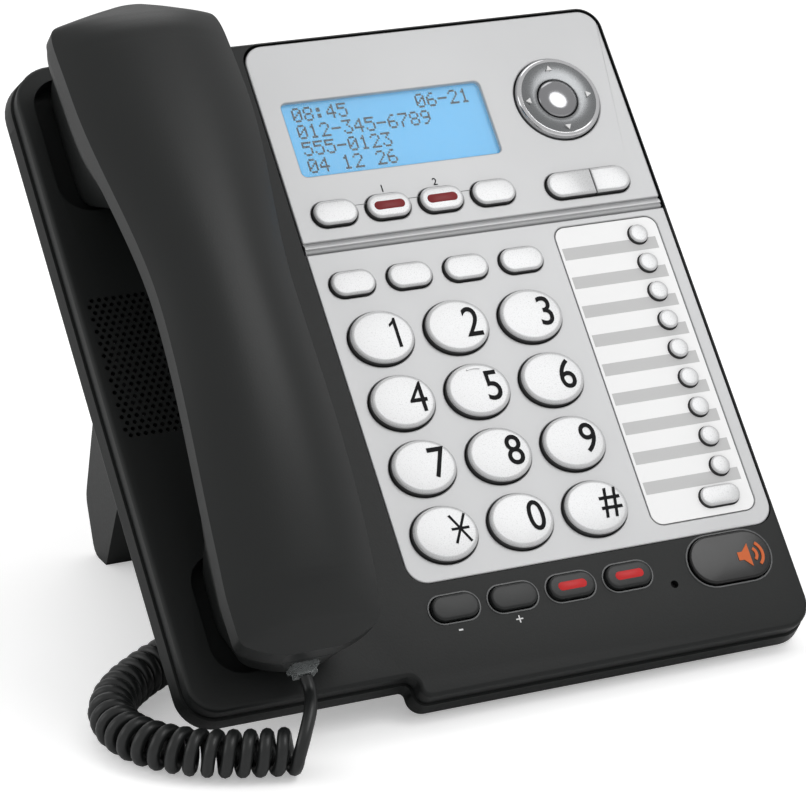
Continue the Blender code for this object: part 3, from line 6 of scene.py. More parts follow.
import bmesh
import bpy
import numpy as np
from mathutils import Matrix, Vector


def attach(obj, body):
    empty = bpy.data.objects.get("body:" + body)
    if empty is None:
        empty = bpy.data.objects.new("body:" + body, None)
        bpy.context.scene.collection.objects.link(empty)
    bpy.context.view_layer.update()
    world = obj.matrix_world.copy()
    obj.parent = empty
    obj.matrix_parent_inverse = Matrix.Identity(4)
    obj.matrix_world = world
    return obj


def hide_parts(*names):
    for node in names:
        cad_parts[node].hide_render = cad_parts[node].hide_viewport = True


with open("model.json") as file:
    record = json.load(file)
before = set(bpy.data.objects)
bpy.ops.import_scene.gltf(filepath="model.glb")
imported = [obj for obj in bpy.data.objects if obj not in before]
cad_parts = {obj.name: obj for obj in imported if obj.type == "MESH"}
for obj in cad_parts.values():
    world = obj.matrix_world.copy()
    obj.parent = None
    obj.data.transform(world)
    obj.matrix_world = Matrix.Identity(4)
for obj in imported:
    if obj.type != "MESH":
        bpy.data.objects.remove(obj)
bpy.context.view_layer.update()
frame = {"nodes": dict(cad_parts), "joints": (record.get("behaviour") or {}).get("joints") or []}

# Stance and camera: the deck leans back 47 degrees on the stand, and its display turns on the hinge
# that the frame places, so the hinge gives the deck's place. The camera looks from the front left.
TILT = radians(47.2)
HINGE = (0.0, 0.1390, -0.00175)
hinge_place = Vector(next(joint for joint in frame["joints"] if joint["name"] == "display_tilt")["pos_m"])
DECK = Matrix.Translation(hinge_place) @ Matrix.Rotation(TILT, 4, "X") @ Matrix.Translation(-Vector(HINGE))

KEYPAD_CENTRE = (0.0149, 0.0870)
VIEW_TURN = 0.43956
VIEW_DROP = 0.33875
VIEW_DISTANCE = 1.02294
VIEW_ASIDE = -0.02131
VIEW_ABOVE = -0.00229
back = Vector((-sin(VIEW_TURN) * cos(VIEW_DROP), -cos(VIEW_TURN) * cos(VIEW_DROP), sin(VIEW_DROP)))
aside = Vector((cos(VIEW_TURN), -sin(VIEW_TURN), 0))
above = back.cross(aside)
key_five = DECK @ Vector((*KEYPAD_CENTRE, 0))
eye = key_five + back * VIEW_DISTANCE + aside * VIEW_ASIDE + above * VIEW_ABOVE
lens = bpy.data.cameras.new("camera")
lens.sensor_width = 36
lens.lens = 158.4
camera = bpy.data.objects.new("camera", lens)
bpy.context.scene.collection.objects.link(camera)
camera.matrix_world = Matrix.Translation(eye) @ Matrix((aside, above, back)).transposed().to_4x4()
bpy.context.scene.camera = camera


# Curly cord: a round vinyl jacket wound hot into curls, with a straight lead at each end. It runs
# from the handset's jack round the front left of the base, and under it to the base's jack.
def group_node(tree, kind, **values):
    node = tree.nodes.new(kind)
    for name, value in values.items():
        setattr(node, name, value)
    return node


def grain_group():
    """Colour, roughness and normal of a moulded or painted surface, from its place on the object."""
    tree = bpy.data.node_groups.new("moulded_grain", "ShaderNodeTree")
    sockets = (("Tone", "NodeSocketColor"), ("Variation", "NodeSocketFloat"), ("Gloss", "NodeSocketFloat"),
               ("Spread", "NodeSocketFloat"), ("Scale", "NodeSocketFloat"), ("Depth", "NodeSocketFloat"))
    for name, kind in sockets:
        tree.interface.new_socket(name, in_out="INPUT", socket_type=kind)
    results = (("Colour", "NodeSocketColor"), ("Roughness", "NodeSocketFloat"), ("Normal", "NodeSocketVector"))
    for name, kind in results:
        tree.interface.new_socket(name, in_out="OUTPUT", socket_type=kind)
    taken = group_node(tree, "NodeGroupInput")
    given = group_node(tree, "NodeGroupOutput")
    place = group_node(tree, "ShaderNodeTexCoord")
    fine = group_node(tree, "ShaderNodeTexNoise")
    broad = group_node(tree, "ShaderNodeTexNoise")
    fine.inputs["Detail"].default_value = 3
    broad.inputs["Scale"].default_value = 26
    broad.inputs["Detail"].default_value = 2
    dark = group_node(tree, "ShaderNodeVectorMath", operation="SCALE")
    share = group_node(tree, "ShaderNodeMapRange")
    mixed = group_node(tree, "ShaderNodeMath", operation="MULTIPLY_ADD")
    centred = group_node(tree, "ShaderNodeMath", operation="SUBTRACT")
    rough = group_node(tree, "ShaderNodeMath", operation="MULTIPLY_ADD")
    bump = group_node(tree, "ShaderNodeBump")
    centred.inputs[1].default_value = 0.5
    share.inputs["From Min"].default_value = 0.3
    share.inputs["From Max"].default_value = 0.7
    share.inputs["To Min"].default_value = -1
    mixed.inputs[2].default_value = 1
    link = tree.links.new
    link(place.outputs["Object"], fine.inputs["Vector"])
    link(place.outputs["Object"], broad.inputs["Vector"])
    link(taken.outputs["Scale"], fine.inputs["Scale"])
    link(broad.outputs["Fac"], share.inputs["Value"])
    link(share.outputs["Result"], mixed.inputs[0])
    link(taken.outputs["Variation"], mixed.inputs[1])
    link(taken.outputs["Tone"], dark.inputs[0])
    link(mixed.outputs[0], dark.inputs["Scale"])
    link(dark.outputs[0], given.inputs["Colour"])
    link(fine.outputs["Fac"], centred.inputs[0])
    link(centred.outputs[0], rough.inputs[0])
    link(taken.outputs["Spread"], rough.inputs[1])
    link(taken.outputs["Gloss"], rough.inputs[2])
    link(rough.outputs[0], given.inputs["Roughness"])
    link(fine.outputs["Fac"], bump.inputs["Height"])
    link(taken.outputs["Depth"], bump.inputs["Distance"])
    link(bump.outputs["Normal"], given.inputs["Normal"])
    return tree


GRAIN = grain_group()


def surface(name, colour, roughness, scale=1600, depth=0.00002, variation=0.05, spread=0.10, **plain):
    """A moulded or painted finish; plain values, such as Metallic, are set on the shader itself."""
    material = bpy.data.materials.new(name)
    material.use_nodes = True
    tree = material.node_tree
    shader = tree.nodes["Principled BSDF"]
    grain = group_node(tree, "ShaderNodeGroup", node_tree=GRAIN)
    values = (("Tone", (*colour, 1)), ("Variation", variation), ("Gloss", roughness), ("Spread", spread),
              ("Scale", scale), ("Depth", depth))
    for socket, value in values:
        grain.inputs[socket].default_value = value
    tree.links.new(grain.outputs["Colour"], shader.inputs["Base Color"])
    tree.links.new(grain.outputs["Roughness"], shader.inputs["Roughness"])
    tree.links.new(grain.outputs["Normal"], shader.inputs["Normal"])
    for socket, value in plain.items():
        shader.inputs[socket.replace("_", " ")].default_value = value
    material.diffuse_color = (*colour, 1)
    return material


VINYL_BLACK = surface("vinyl_black", (0.010, 0.011, 0.011), 0.36, scale=900, depth=0.00001,
                      Specular_IOR_Level=0.40)
CORD_DIAMETER = 0.0037
CURL_DIAMETER = 0.0134
CURL_COUNT = 47.0
CURL_CROWDING = 0.03
POINTS_A_CURL = 26
CORD_REST = 0.0003
PLUG_LENGTH = 0.0115
PLUG_SEAT = 0.0085
CRADLE_X = -0.0660
HANDSET_FRONT = 0.0125
HANDSET_PLUG_HEIGHT = 0.0102
BASE_JACK = (0.0150, 0.1000)
BELLY_DEPTH = 0.0320
# The curls' way: x from the cradle's middle, y over the desk from under the deck's front edge
COIL_ROUTE = [
    (-0.0075, -0.0120), (-0.0190, -0.0082), (-0.0295, -0.0032), (-0.0376, 0.0038), (-0.0428, 0.0120),
    (-0.0450, 0.0212), (-0.0440, 0.0305), (-0.0402, 0.0388), (-0.0345, 0.0460), (-0.0275, 0.0522),
    (-0.0200, 0.0577), (-0.0080, 0.0647), (0.0080, 0.0712), (0.0260, 0.0757), (0.0440, 0.0800),
    (0.0620, 0.0860), (0.0780, 0.0945), (0.0905, 0.1050), (0.0995, 0.1170)]
HANDSET_LEAD = [(-0.0024, -0.0098, 0.0172), (-0.0066, -0.0152, 0.0122)]
BASE_LEAD = [(0.0228, 0.1145, 0.0130), (0.0210, 0.1175, 0.0210), (0.0150, 0.1195, 0.0290),
             (0.0070, 0.1175, 0.0370), (0.0020, 0.1110, 0.0450)]
DESK = Vector(((DECK @ Vector((0, 0, 0))).x, (DECK @ Vector((0, 0, 0))).y, 0))


def smooth(points, step):
    """Points along a smooth curve through the given ones, about a step apart."""
    points = [np.array(point, float) for point in points]
    ends = [2 * points[0] - points[1]] + points + [2 * points[-1] - points[-2]]
    found = []
    for a, b, c, d in zip(ends, ends[1:], ends[2:], ends[3:]):
        count = max(1, ceil(np.linalg.norm(c - b) / step))
        for t in np.arange(count) / count:
            square = (2 * a - 5 * b + 4 * c - d) * t ** 2
            cube = (3 * b - a - 3 * c + d) * t ** 3
            found.append((2 * b + (c - a) * t + square + cube) / 2)
    return np.array(found + [points[-1]])


def curls():
    """Points along the curls, which follow the route over the desk."""
    radius = (CURL_DIAMETER - CORD_DIAMETER) / 2
    axis = smooth([(CRADLE_X + x, y) for x, y in COIL_ROUTE], CORD_DIAMETER / POINTS_A_CURL)
    runs = np.concatenate([[0], np.cumsum(np.linalg.norm(np.diff(axis, axis=0), axis=1))])
    total = ceil(CURL_COUNT * POINTS_A_CURL)

    def at(run):
        return np.array([np.interp(run, runs, axis[:, side]) for side in range(2)])

    found = []
    for i in range(total + 1):
        run = runs[-1] * (i / total - CURL_CROWDING * sin(pi * i / total))
        way = at(run + CORD_DIAMETER) - at(run - CORD_DIAMETER)
        way = way / np.linalg.norm(way)
        turn = 2 * pi * CURL_COUNT * i / total
        out = np.array([-way[1], way[0]]) * cos(turn) * radius
        found.append((*(at(run) + out), CURL_DIAMETER / 2 + CORD_REST - sin(turn) * radius))
    return found


def curly_cord():
    proud = CORD_REST + PLUG_LENGTH - PLUG_SEAT
    start = np.array((DECK @ Vector((CRADLE_X, HANDSET_FRONT - proud, HANDSET_PLUG_HEIGHT))) - DESK)
    start_way = np.array((0, -cos(TILT), -sin(TILT)))
    stop = np.array((DECK @ Vector((*BASE_JACK, -BELLY_DEPTH - proud))) - DESK)
    stop_way = np.array((0, sin(TILT), -cos(TILT)))
    straight = CORD_DIAMETER * 1.2
    wound = curls()
    step = CORD_DIAMETER * 0.4
    lead_in = [start, start + start_way * straight]
    lead_in += [(CRADLE_X + x, y, z) for x, y, z in HANDSET_LEAD] + [wound[0]]
    lead_out = [wound[-1]] + [(BASE_JACK[0] + x, y, z) for x, y, z in BASE_LEAD]
    lead_out += [stop + stop_way * straight, stop]
    points = np.concatenate([smooth(lead_in, step)[:-1], wound, smooth(lead_out, step)[1:]]) + np.array(DESK)
    curve = bpy.data.curves.new("curly_cord", "CURVE")
    curve.dimensions = "3D"
    curve.bevel_depth = CORD_DIAMETER / 2
    curve.bevel_resolution = 3
    curve.use_fill_caps = True
    line = curve.splines.new("POLY")
    line.points.add(len(points) - 1)
    for point, place in zip(line.points, points):
        point.co = (*place, 1)
    curve.materials.append(VINYL_BLACK)
    made = bpy.data.objects.new("curly_cord", curve)
    bpy.context.scene.collection.objects.link(made)
    length = float(np.linalg.norm(np.diff(points, axis=0), axis=1).sum())
    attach(made, "base")
    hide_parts("handset_cord")
    return made, tuple(points[0]), length


cord, cord_exit, cord_length = curly_cord()


# Upper casing: the black top moulding, with the cradle's pans, the display's well, the bed of the
# silver plate, the loudspeaker's grille and the holes of the black keys. ABS with a fine grain.
CASING_BLACK = surface("casing_black", (0.0090, 0.0100, 0.0098), 0.46, scale=1500, depth=0.00003,
                       Specular_IOR_Level=0.25)
BODY_WIDTH = 0.1912
BODY_LENGTH = 0.2078
LEFT_SETBACK = 0.0070
STEP_X = -0.0300
FRONT_RADIUS = 0.0085
TOP_LEFT_RADIUS = 0.0125
TOP_RIGHT_RADIUS = 0.0075
STEP_RADIUS = 0.0030
EDGE_ROUND = 0.0012
UPPER_SKIRT = 0.0052
WALL = 0.0020
GAP = 0.0003
KEY_GAP = 0.00035
OVER = 0.0010
ARC_STEPS = 10
EAR_PAN = (0.0500, 0.1600, 0.2030, 0.0065)
MOUTH_PAN = (0.0406, 0.0165, 0.0520, 0.0055)
PAN_RADIUS = 0.0090
PLUNGER_Y = 0.1700
PLUNGER_SIZE = (0.0080, 0.0060)
PLATE = (-0.0235, 0.0942, 0.0325, 0.13695)
PLATE_RADIUS = 0.0063
PLATE_THICK = 0.0016
DISPLAY = (-0.0235, 0.0942, 0.14075, 0.2064)
DISPLAY_DEPTH = 0.0070
BLACK_PILL = (0.0146, 0.0074)
BLACK_ROW = [(-0.0130 + i * 0.01834, 0.0240) for i in range(4)]
SPEAKER_CENTRE = (0.0754, 0.0238)
SPEAKER_SIZE = (0.0262, 0.0148)
MIC_PLACE = (0.0557, 0.0191)
MIC_RADIUS = 0.0012
GRILLE_PITCH = 0.0022
GRILLE_HOLE = 0.0007
GRILLE_CENTRE = (-0.0765, 0.1112)
GRILLE_SIZE = (0.0340, 0.0520)
GRILLE_RADIUS = 0.0120


def arc(centre, radius, start, end, sides):
    """Points along an arc, both ends included."""
    return [(centre[0] + radius * cos(t), centre[1] + radius * sin(t)) for t in np.linspace(start, end, sides + 1)]


def rounded(corners, sides=ARC_STEPS):
    """An outline from (x, y, radius) corners, anticlockwise, with round corners."""
    points = []
    for i, (x, y, radius) in enumerate(corners):
        here = Vector((x, y))
        before = (Vector(corners[i - 1][:2]) - here).normalized()
        after = (Vector(corners[(i + 1) % len(corners)][:2]) - here).normalized()
        if not radius:
            points.append((x, y))
            continue
        half = before.angle(after) / 2
        centre = here + (before + after).normalized() * radius / sin(half)
        first = here + before * radius / tan(half) - centre
        last = here + after * radius / tan(half) - centre
        start, end = atan2(first.y, first.x), atan2(last.y, last.x)
        if before.cross(after) < 0 and end < start:
            end += 2 * pi
        if before.cross(after) > 0 and end > start:
            end -= 2 * pi
        points += arc(centre, radius, start, end, sides)
    return points


def panel(limits, front_radius=0.0, back_radius=0.0, by=0.0):
    """A rectangle widened by a margin, with its own radius at each end."""
    left, right, front, back = limits
    front_radius = front_radius and front_radius + by
    back_radius = back_radius and back_radius + by
    return rounded([(left - by, front - by, front_radius), (right + by, front - by, front_radius),
                    (right + by, back + by, back_radius), (left - by, back + by, back_radius)])


def around(centre, size, radius=0.0, by=0.0):
    wide, high = size[0] / 2, size[1] / 2
    limits = (centre[0] - wide, centre[0] + wide, centre[1] - high, centre[1] + high)
    return panel(limits, radius, radius, by)


def oval(centre, radii, sides=48):
    return [(centre[0] + radii[0] * cos(t), centre[1] + radii[1] * sin(t)) for t in np.arange(sides) * 2 * pi / sides]


def pill(centre, size, by=0.0, sides=14):
    """Straight sides and half-round ends."""
    radius = size[1] / 2
    reach = size[0] / 2 - radius
    right = arc((centre[0] + reach, centre[1]), radius + by, -pi / 2, pi / 2, sides)
    left = arc((centre[0] - reach, centre[1]), radius + by, pi / 2, 3 * pi / 2, sides)
    return right + left


def skin(bm, rings, close=False):
    """Faces between closed rings of points, capped at both ends or closed with a middle point."""
    rows = [[bm.verts.new(point) for point in ring] for ring in rings]
    for low, high in zip(rows, rows[1:]):
        for i in range(len(low)):
            bm.faces.new((low[i - 1], low[i], high[i], high[i - 1]))
    bm.faces.new(rows[0])
    if close:
        middle = bm.verts.new(np.mean([vert.co for vert in rows[-1]], axis=0) + np.array((0, 0, close)))
        for i in range(len(rows[-1])):
            bm.faces.new((rows[-1][i - 1], rows[-1][i], middle))
    else:
        bm.faces.new(rows[-1])
    return bm


def prisms(*shapes):
    """Upright blocks: (outline, bottom, top)."""
    bm = bmesh.new()
    for outline, bottom, top in shapes:
        skin(bm, [[(x, y, z) for x, y in outline] for z in (bottom, top)])
    return bm


def stand_in(bm):
    bmesh.ops.recalc_face_normals(bm, faces=bm.faces)
    mesh = bpy.data.meshes.new("shape")
    bm.to_mesh(mesh)
    bm.free()
    made = bpy.data.objects.new("shape", mesh)
    bpy.context.scene.collection.objects.link(made)
    return made


def carve(bm, *steps):
    """Join or cut shapes one after another; each step is an operation and a shape."""
    target = stand_in(bm)
    tools = []
    for operation, shape in steps:
        tools.append(stand_in(shape))
        step = target.modifiers.new("step", "BOOLEAN")
        step.operation = operation
        step.solver = "EXACT"
        step.object = tools[-1]
    bpy.context.view_layer.update()
    done = bmesh.new()
    done.from_mesh(target.evaluated_get(bpy.context.evaluated_depsgraph_get()).to_mesh())
    for used in (target, *tools):
        mesh = used.data
        bpy.data.objects.remove(used, do_unlink=True)
        bpy.data.meshes.remove(mesh)
    return done


def put(name, bm, look, body, nodes=(), bevel=0.0, steps=2, angle=35, second=None):
    """Finish a piece made in the deck's frame: normals, place, edges, looks, and what it rides on."""
    bmesh.ops.remove_doubles(bm, verts=bm.verts, dist=0.0000002)
    bmesh.ops.recalc_face_normals(bm, faces=bm.faces)
    bm.transform(DECK)
    mesh = bpy.data.meshes.new(name)
    bm.to_mesh(mesh)
    bm.free()
    mesh.materials.append(look)
    if second:
        mesh.materials.append(second)
    mesh.shade_smooth()
    made = bpy.data.objects.new(name, mesh)
    bpy.context.scene.collection.objects.link(made)
    if bevel:
        edges = made.modifiers.new("edges", "BEVEL")
        edges.width = bevel
        edges.segments = steps
        edges.limit_method = "ANGLE"
        edges.angle_limit = radians(angle)
        edges.harden_normals = True
    else:
        mesh.set_sharp_from_angle(angle=radians(angle))
    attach(made, body)
    if nodes:
        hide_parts(*nodes)
    return made


def body_outline(inset):
    half = BODY_WIDTH / 2 - inset
    return rounded([
        (-half, LEFT_SETBACK + inset, FRONT_RADIUS - inset),
        (STEP_X + inset, LEFT_SETBACK + inset, STEP_RADIUS + inset),
        (STEP_X + inset, inset, STEP_RADIUS - inset), (half, inset, FRONT_RADIUS - inset),
        (half, BODY_LENGTH - inset, TOP_RIGHT_RADIUS - inset), (-half, BODY_LENGTH - inset, TOP_LEFT_RADIUS - inset)])


def body_rings(rows):
    return [[(x, y, z) for x, y in body_outline(inset)] for z, inset in rows]


def pan_outline(pan, by=0.0):
    return around((CRADLE_X, (pan[1] + pan[2]) / 2), (pan[0], pan[2] - pan[1]), PAN_RADIUS, by)


def casing_top():
    turns = np.linspace(0, pi / 2, 6)
    rows = [(-UPPER_SKIRT, 0)] + [(-EDGE_ROUND * (1 - sin(t)), EDGE_ROUND * (1 - cos(t))) for t in turns]
    slab = skin(bmesh.new(), body_rings(rows))
    hollow = skin(bmesh.new(), body_rings([(-UPPER_SKIRT - OVER, WALL), (-WALL, WALL)]))
    well = (DISPLAY[0] - 2 * GAP, DISPLAY[1] + 2 * GAP, PLATE[3], DISPLAY[3] + 2 * GAP)
    well_depth = DISPLAY_DEPTH + 2 * GAP
    blocks = prisms((pan_outline(EAR_PAN, WALL), -EAR_PAN[3] - WALL, -WALL / 2),
                    (pan_outline(MOUTH_PAN, WALL), -MOUTH_PAN[3] - WALL, -WALL / 2))
    bed = prisms((panel(well, 0, PLATE_RADIUS, 3 * GAP), -well_depth - OVER, -WALL / 2))
    ledge = prisms((panel(PLATE, PLATE_RADIUS, 0, 3 * GAP), -PLATE_THICK - OVER, -WALL / 2))
    pockets = prisms((pan_outline(EAR_PAN), -EAR_PAN[3], OVER), (pan_outline(MOUTH_PAN), -MOUTH_PAN[3], OVER),
                     (panel(well, 0, PLATE_RADIUS), -well_depth, OVER))
    bedding = (PLATE[0], PLATE[1], PLATE[2], PLATE[3] + 2 * GAP)
    plate_bed = prisms((panel(bedding, PLATE_RADIUS, 0, GAP), -PLATE_THICK - GAP, OVER))
    holes = [(pill(place, BLACK_PILL, KEY_GAP), -2 * WALL, OVER) for place in BLACK_ROW]
    holes += [(pill(SPEAKER_CENTRE, SPEAKER_SIZE, KEY_GAP), -2 * WALL, OVER),
              (oval(MIC_PLACE, (MIC_RADIUS, MIC_RADIUS), 24), -2 * WALL, OVER),
              (around((CRADLE_X, PLUNGER_Y), PLUNGER_SIZE, 0, GAP), -EAR_PAN[3] - 2 * WALL, -EAR_PAN[3] + OVER)]
    bm = carve(slab, ("DIFFERENCE", hollow), ("UNION", blocks), ("UNION", bed), ("UNION", ledge),
               ("DIFFERENCE", pockets), ("DIFFERENCE", plate_bed), ("DIFFERENCE", prisms(*holes)),
               ("DIFFERENCE", prisms(*grille())))
    put("casing_top", bm, CASING_BLACK, "base", ["upper_housing"], bevel=0.0003)


def grille():
    """Small holes over the loudspeaker, in staggered rows within a rounded field."""
    holes = []
    wide, high = GRILLE_SIZE[0] / 2, GRILLE_SIZE[1] / 2
    for row in range(-int(high / GRILLE_PITCH), int(high / GRILLE_PITCH) + 1):
        for column in range(-int(wide / GRILLE_PITCH), int(wide / GRILLE_PITCH) + 1):
            x = (column + (row % 2) / 2) * GRILLE_PITCH
            y = row * GRILLE_PITCH * sqrt(3) / 2
            past = (max(0, abs(x) - wide + GRILLE_RADIUS), max(0, abs(y) - high + GRILLE_RADIUS))
            if past[0] ** 2 + past[1] ** 2 <= GRILLE_RADIUS ** 2:
                place = (GRILLE_CENTRE[0] + x, GRILLE_CENTRE[1] + y)
                holes.append((oval(place, (GRILLE_HOLE, GRILLE_HOLE), 8), -WALL - OVER, OVER))
    return holes


casing_top()


# Lower casing, stand and foot: the black bottom moulding with its proud rim, the blade stand that
# holds the deck up, and the rubber strip under the front edge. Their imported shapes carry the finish.
RUBBER = surface("foot_rubber", (0.010, 0.010, 0.010), 0.80, scale=2400, depth=0.00004)
LOWER_RIM = 0.0110
FLARE = 0.0015


def paint(look, *nodes):
    for node in nodes:
        mesh = frame["nodes"][node].data
        mesh.materials.clear()
        mesh.materials.append(look)


def soften(node, width):
    """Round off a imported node's edges."""
    edges = frame["nodes"][node].modifiers.new("edges", "BEVEL")
    edges.width = width
    edges.segments = 3
    edges.limit_method = "ANGLE"
    edges.angle_limit = radians(35)
    edges.harden_normals = True


def casing_rim():
    """The rim that shows below the upper casing, its edge rounded."""
    top = -UPPER_SKIRT - GAP
    turns = np.linspace(0, pi / 2, 5)
    rows = [(top, -FLARE * top / -LOWER_RIM)]
    rows += [(-LOWER_RIM + EDGE_ROUND * (1 - sin(t)), -FLARE + EDGE_ROUND * (1 - cos(t))) for t in turns]
    outer = skin(bmesh.new(), body_rings(rows))
    inner = skin(bmesh.new(), body_rings([(top + OVER, 2 * GAP), (-LOWER_RIM - OVER, 2 * GAP)]))
    put("casing_rim", carve(outer, ("DIFFERENCE", inner)), CASING_BLACK, "base", angle=50)


paint(CASING_BLACK, "lower_housing", "desk_stand")
paint(RUBBER, "front_foot")
soften("desk_stand", 0.0008)
casing_rim()


# Inside the base: board, key mat, loudspeaker and hook plunger show only through holes and under a
# lifted handset or a tilted display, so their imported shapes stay.
BOARD_GREEN = surface("board_green", (0.03, 0.20, 0.07), 0.45, scale=700, depth=0.00002)
MAT_GREY = surface("mat_grey", (0.30, 0.30, 0.31), 0.70, scale=1200, depth=0.00002)
STEEL = surface("plated_steel", (0.45, 0.45, 0.46), 0.35, scale=2000, depth=0.00001, Metallic=0.9)
paint(BOARD_GREEN, "main_board")
paint(MAT_GREY, "key_mat")
paint(STEEL, "loudspeaker", "receiver_capsule", "handset_microphone")
paint(CASING_BLACK, "hook_plunger")


# Silver keypad plate: moulded plastic under satin silver paint with a very fine flake, pressed into
# its bed in the casing, with a chamfered border and a shallow recess for the index card.
PAINT_SILVER = surface("silver_paint", (0.46, 0.463, 0.468), 0.38, scale=4200, depth=0.000004, variation=0.02,
                       spread=0.16, Metallic=0.25, Coat_Weight=0.15, Coat_Roughness=0.15)
KEY_PITCH = (0.0240, 0.02068)
DIGIT_RADII = (0.0099, 0.00835)
DIGIT_PLACES = [(KEYPAD_CENTRE[0] + column * KEY_PITCH[0], KEYPAD_CENTRE[1] + row * KEY_PITCH[1])
                for row in (1, 0, -1, -2) for column in (-1, 0, 1)]
SILVER_PILL = (0.0138, 0.0077)
UPPER_ROW = [(-0.0124 + i * 0.01819, 0.12605) for i in range(4)]
MEMORY_PLACES = [(0.0826, 0.1291 - i * 0.0096) for i in range(9)]
MEMORY_RADIUS = 0.0030
PAGE_CENTRE = (0.0792, 0.0432)
PAGE_SIZE = (0.0128, 0.0062)
CARD = (0.0558, 0.0899, 0.0376, 0.1346)
CARD_RADIUS = 0.0035
CARD_RECESS = 0.0008


def lower_fascia():
    slab = prisms((panel(PLATE, PLATE_RADIUS), -PLATE_THICK, 0))
    recess = prisms((panel(CARD, CARD_RADIUS, CARD_RADIUS, GAP), -CARD_RECESS, OVER))
    under = -PLATE_THICK - OVER
    hole = (DIGIT_RADII[0] + KEY_GAP, DIGIT_RADII[1] + KEY_GAP)
    holes = [(oval(place, hole, 64), under, OVER) for place in DIGIT_PLACES]
    holes += [(pill(place, SILVER_PILL, KEY_GAP), under, OVER) for place in UPPER_ROW]
    radius = MEMORY_RADIUS + KEY_GAP
    holes += [(oval(place, (radius, radius), 32), under, OVER) for place in MEMORY_PLACES]
    holes.append((pill(PAGE_CENTRE, PAGE_SIZE, KEY_GAP), under, OVER))
    bm = carve(slab, ("DIFFERENCE", recess), ("DIFFERENCE", prisms(*holes)))
    put("lower_fascia", bm, PAINT_SILVER, "base", ["keypad_plate"], bevel=0.0005)


lower_fascia()


# Index card: white printed card in the plate's recess, with a plain grey bar beside each memory key
# to write on, and round holes for the keys.
CARD_WHITE = surface("card_white", (0.93, 0.93, 0.93), 0.60, scale=900, depth=0.000008, variation=0.01)
CARD_GREY = surface("card_grey", (0.56, 0.56, 0.56), 0.60, scale=900, depth=0.000008, variation=0.01)
CARD_TOP = -CARD_RECESS + 0.0007
BAR_TOP = -0.0012
BAR_HEIGHT = 0.0039
INK_THICK = 0.00003


def index_card():
    radius = MEMORY_RADIUS + KEY_GAP
    holes = [(oval(place, (radius, radius), 32), -WALL, OVER) for place in MEMORY_PLACES]
    holes.append((pill(PAGE_CENTRE, PAGE_SIZE, KEY_GAP), -WALL, OVER))
    card = prisms((panel(CARD, CARD_RADIUS, CARD_RADIUS), -CARD_RECESS + GAP, CARD_TOP))
    put("memory_card", carve(card, ("DIFFERENCE", prisms(*holes))), CARD_WHITE, "base", ["index_card"])
    bars = []
    for x, y in MEMORY_PLACES:
        limits = (CARD[0] + 0.0008, CARD[1] - 0.0017, y + BAR_TOP - BAR_HEIGHT, y + BAR_TOP)
        bars.append((panel(limits), CARD_TOP - INK_THICK, CARD_TOP + INK_THICK))
    bm = carve(prisms(*bars), ("DIFFERENCE", prisms(*[(outline, -WALL, OVER) for outline, low, high in holes])))
    put("memory_card_bars", bm, CARD_GREY, "base")


index_card()


# Keys: silver caps under a clear coat on the plates, black caps on the casing, all with a rounded
# rim and a slightly domed top. Each cap rides on its own key.
KEY_SILVER = surface("key_silver", (0.56, 0.563, 0.568), 0.28, scale=3800, depth=0.000003, variation=0.02,
                     spread=0.06, Metallic=0.20, Coat_Weight=0.35, Coat_Roughness=0.10)
# Near-black for the sides of the silver caps: painted shade, where each cap's side falls in shadow in its hole
KEY_SIDE_SHADE = surface("key_side_painted_shade", (0.045, 0.045, 0.046), 0.40, scale=1800, depth=0.000008)
KEY_BLACK = surface("key_black", (0.010, 0.011, 0.011), 0.36, scale=1800, depth=0.000008, Specular_IOR_Level=0.35)
GLOSS_BLACK = surface("gloss_black", (0.004, 0.004, 0.004), 0.26, scale=900, depth=0.000002, spread=0.03,
                      Specular_IOR_Level=0.35, Coat_Weight=0.15, Coat_Roughness=0.12)
# Grey for the rings round the black keys and for the lines between the line keys: painted highlight on the rings,
# painted shade of the groove between the keys
HIGHLIGHT_AND_SHADE_GREY = surface("highlight_and_shade_grey", (0.055, 0.057, 0.058), 0.30, scale=1800, depth=0.000008)
LAMP_DARK = surface("lamp_dark", (0.20, 0.012, 0.014), 0.42, scale=600, depth=0.000002, spread=0.03,
                    Specular_IOR_Level=0.30)
LAMP_RED = surface("lamp_red", (0.52, 0.016, 0.018), 0.42, scale=600, depth=0.000002, spread=0.03,
                   Specular_IOR_Level=0.30)
LINE_ROW = [(-0.01087 + i * 0.01717, 0.1490) for i in range(4)]
CANCEL_CENTRE = (0.0722, 0.1482)
CANCEL_SIZE = (0.0276, 0.0082)
CANCEL_SHARE = 0.55
STEM_FOOT = -0.0008
# A cap's rounded rim: inset and height, both of its rise; below the rim a silver cap's side is near-black, as painted
# shade of its hole
CAP_SHARES = [(0.0, 0.62), (0.05, 0.78), (0.15, 0.90), (0.32, 0.97), (0.55, 1.0)]
SHADED_SIDE_TOP = CAP_SHARES[0][1]
DIGIT_RISE = 0.0022
DIGIT_CROWN = 0.00022
PILL_RISE = 0.0017
PILL_CROWN = 0.00012
MEMORY_RISE = 0.0014
LINE_LAMP = (0.0098, 0.0028)
BLACK_LAMP = (0.0090, 0.0026)
RIM_WIDTH = 0.0009
RIM_HEIGHT = 0.00022
DIGIT_NAMES = ["1", "2", "3", "4", "5", "6", "7", "8", "9", "star", "0", "pound"]


def cap(name, outline_at, rise, crown, look, body, node):
    rows = [(0, STEM_FOOT)] + [(rise * inset, rise * up) for inset, up in CAP_SHARES]
    rings = [[(x, y, z) for x, y in outline_at(-inset)] for inset, z in rows]
    bm = skin(bmesh.new(), rings, close=crown)
    # Faces below the rim take the second material, which on silver caps is the painted shade
    for face in bm.faces:
        face.material_index = int(max(vert.co.z for vert in face.verts) < rise * SHADED_SIDE_TOP + INK_THICK)
    put(name, bm, look, body, [node], angle=60, second=KEY_SIDE_SHADE if look == KEY_SILVER else look)


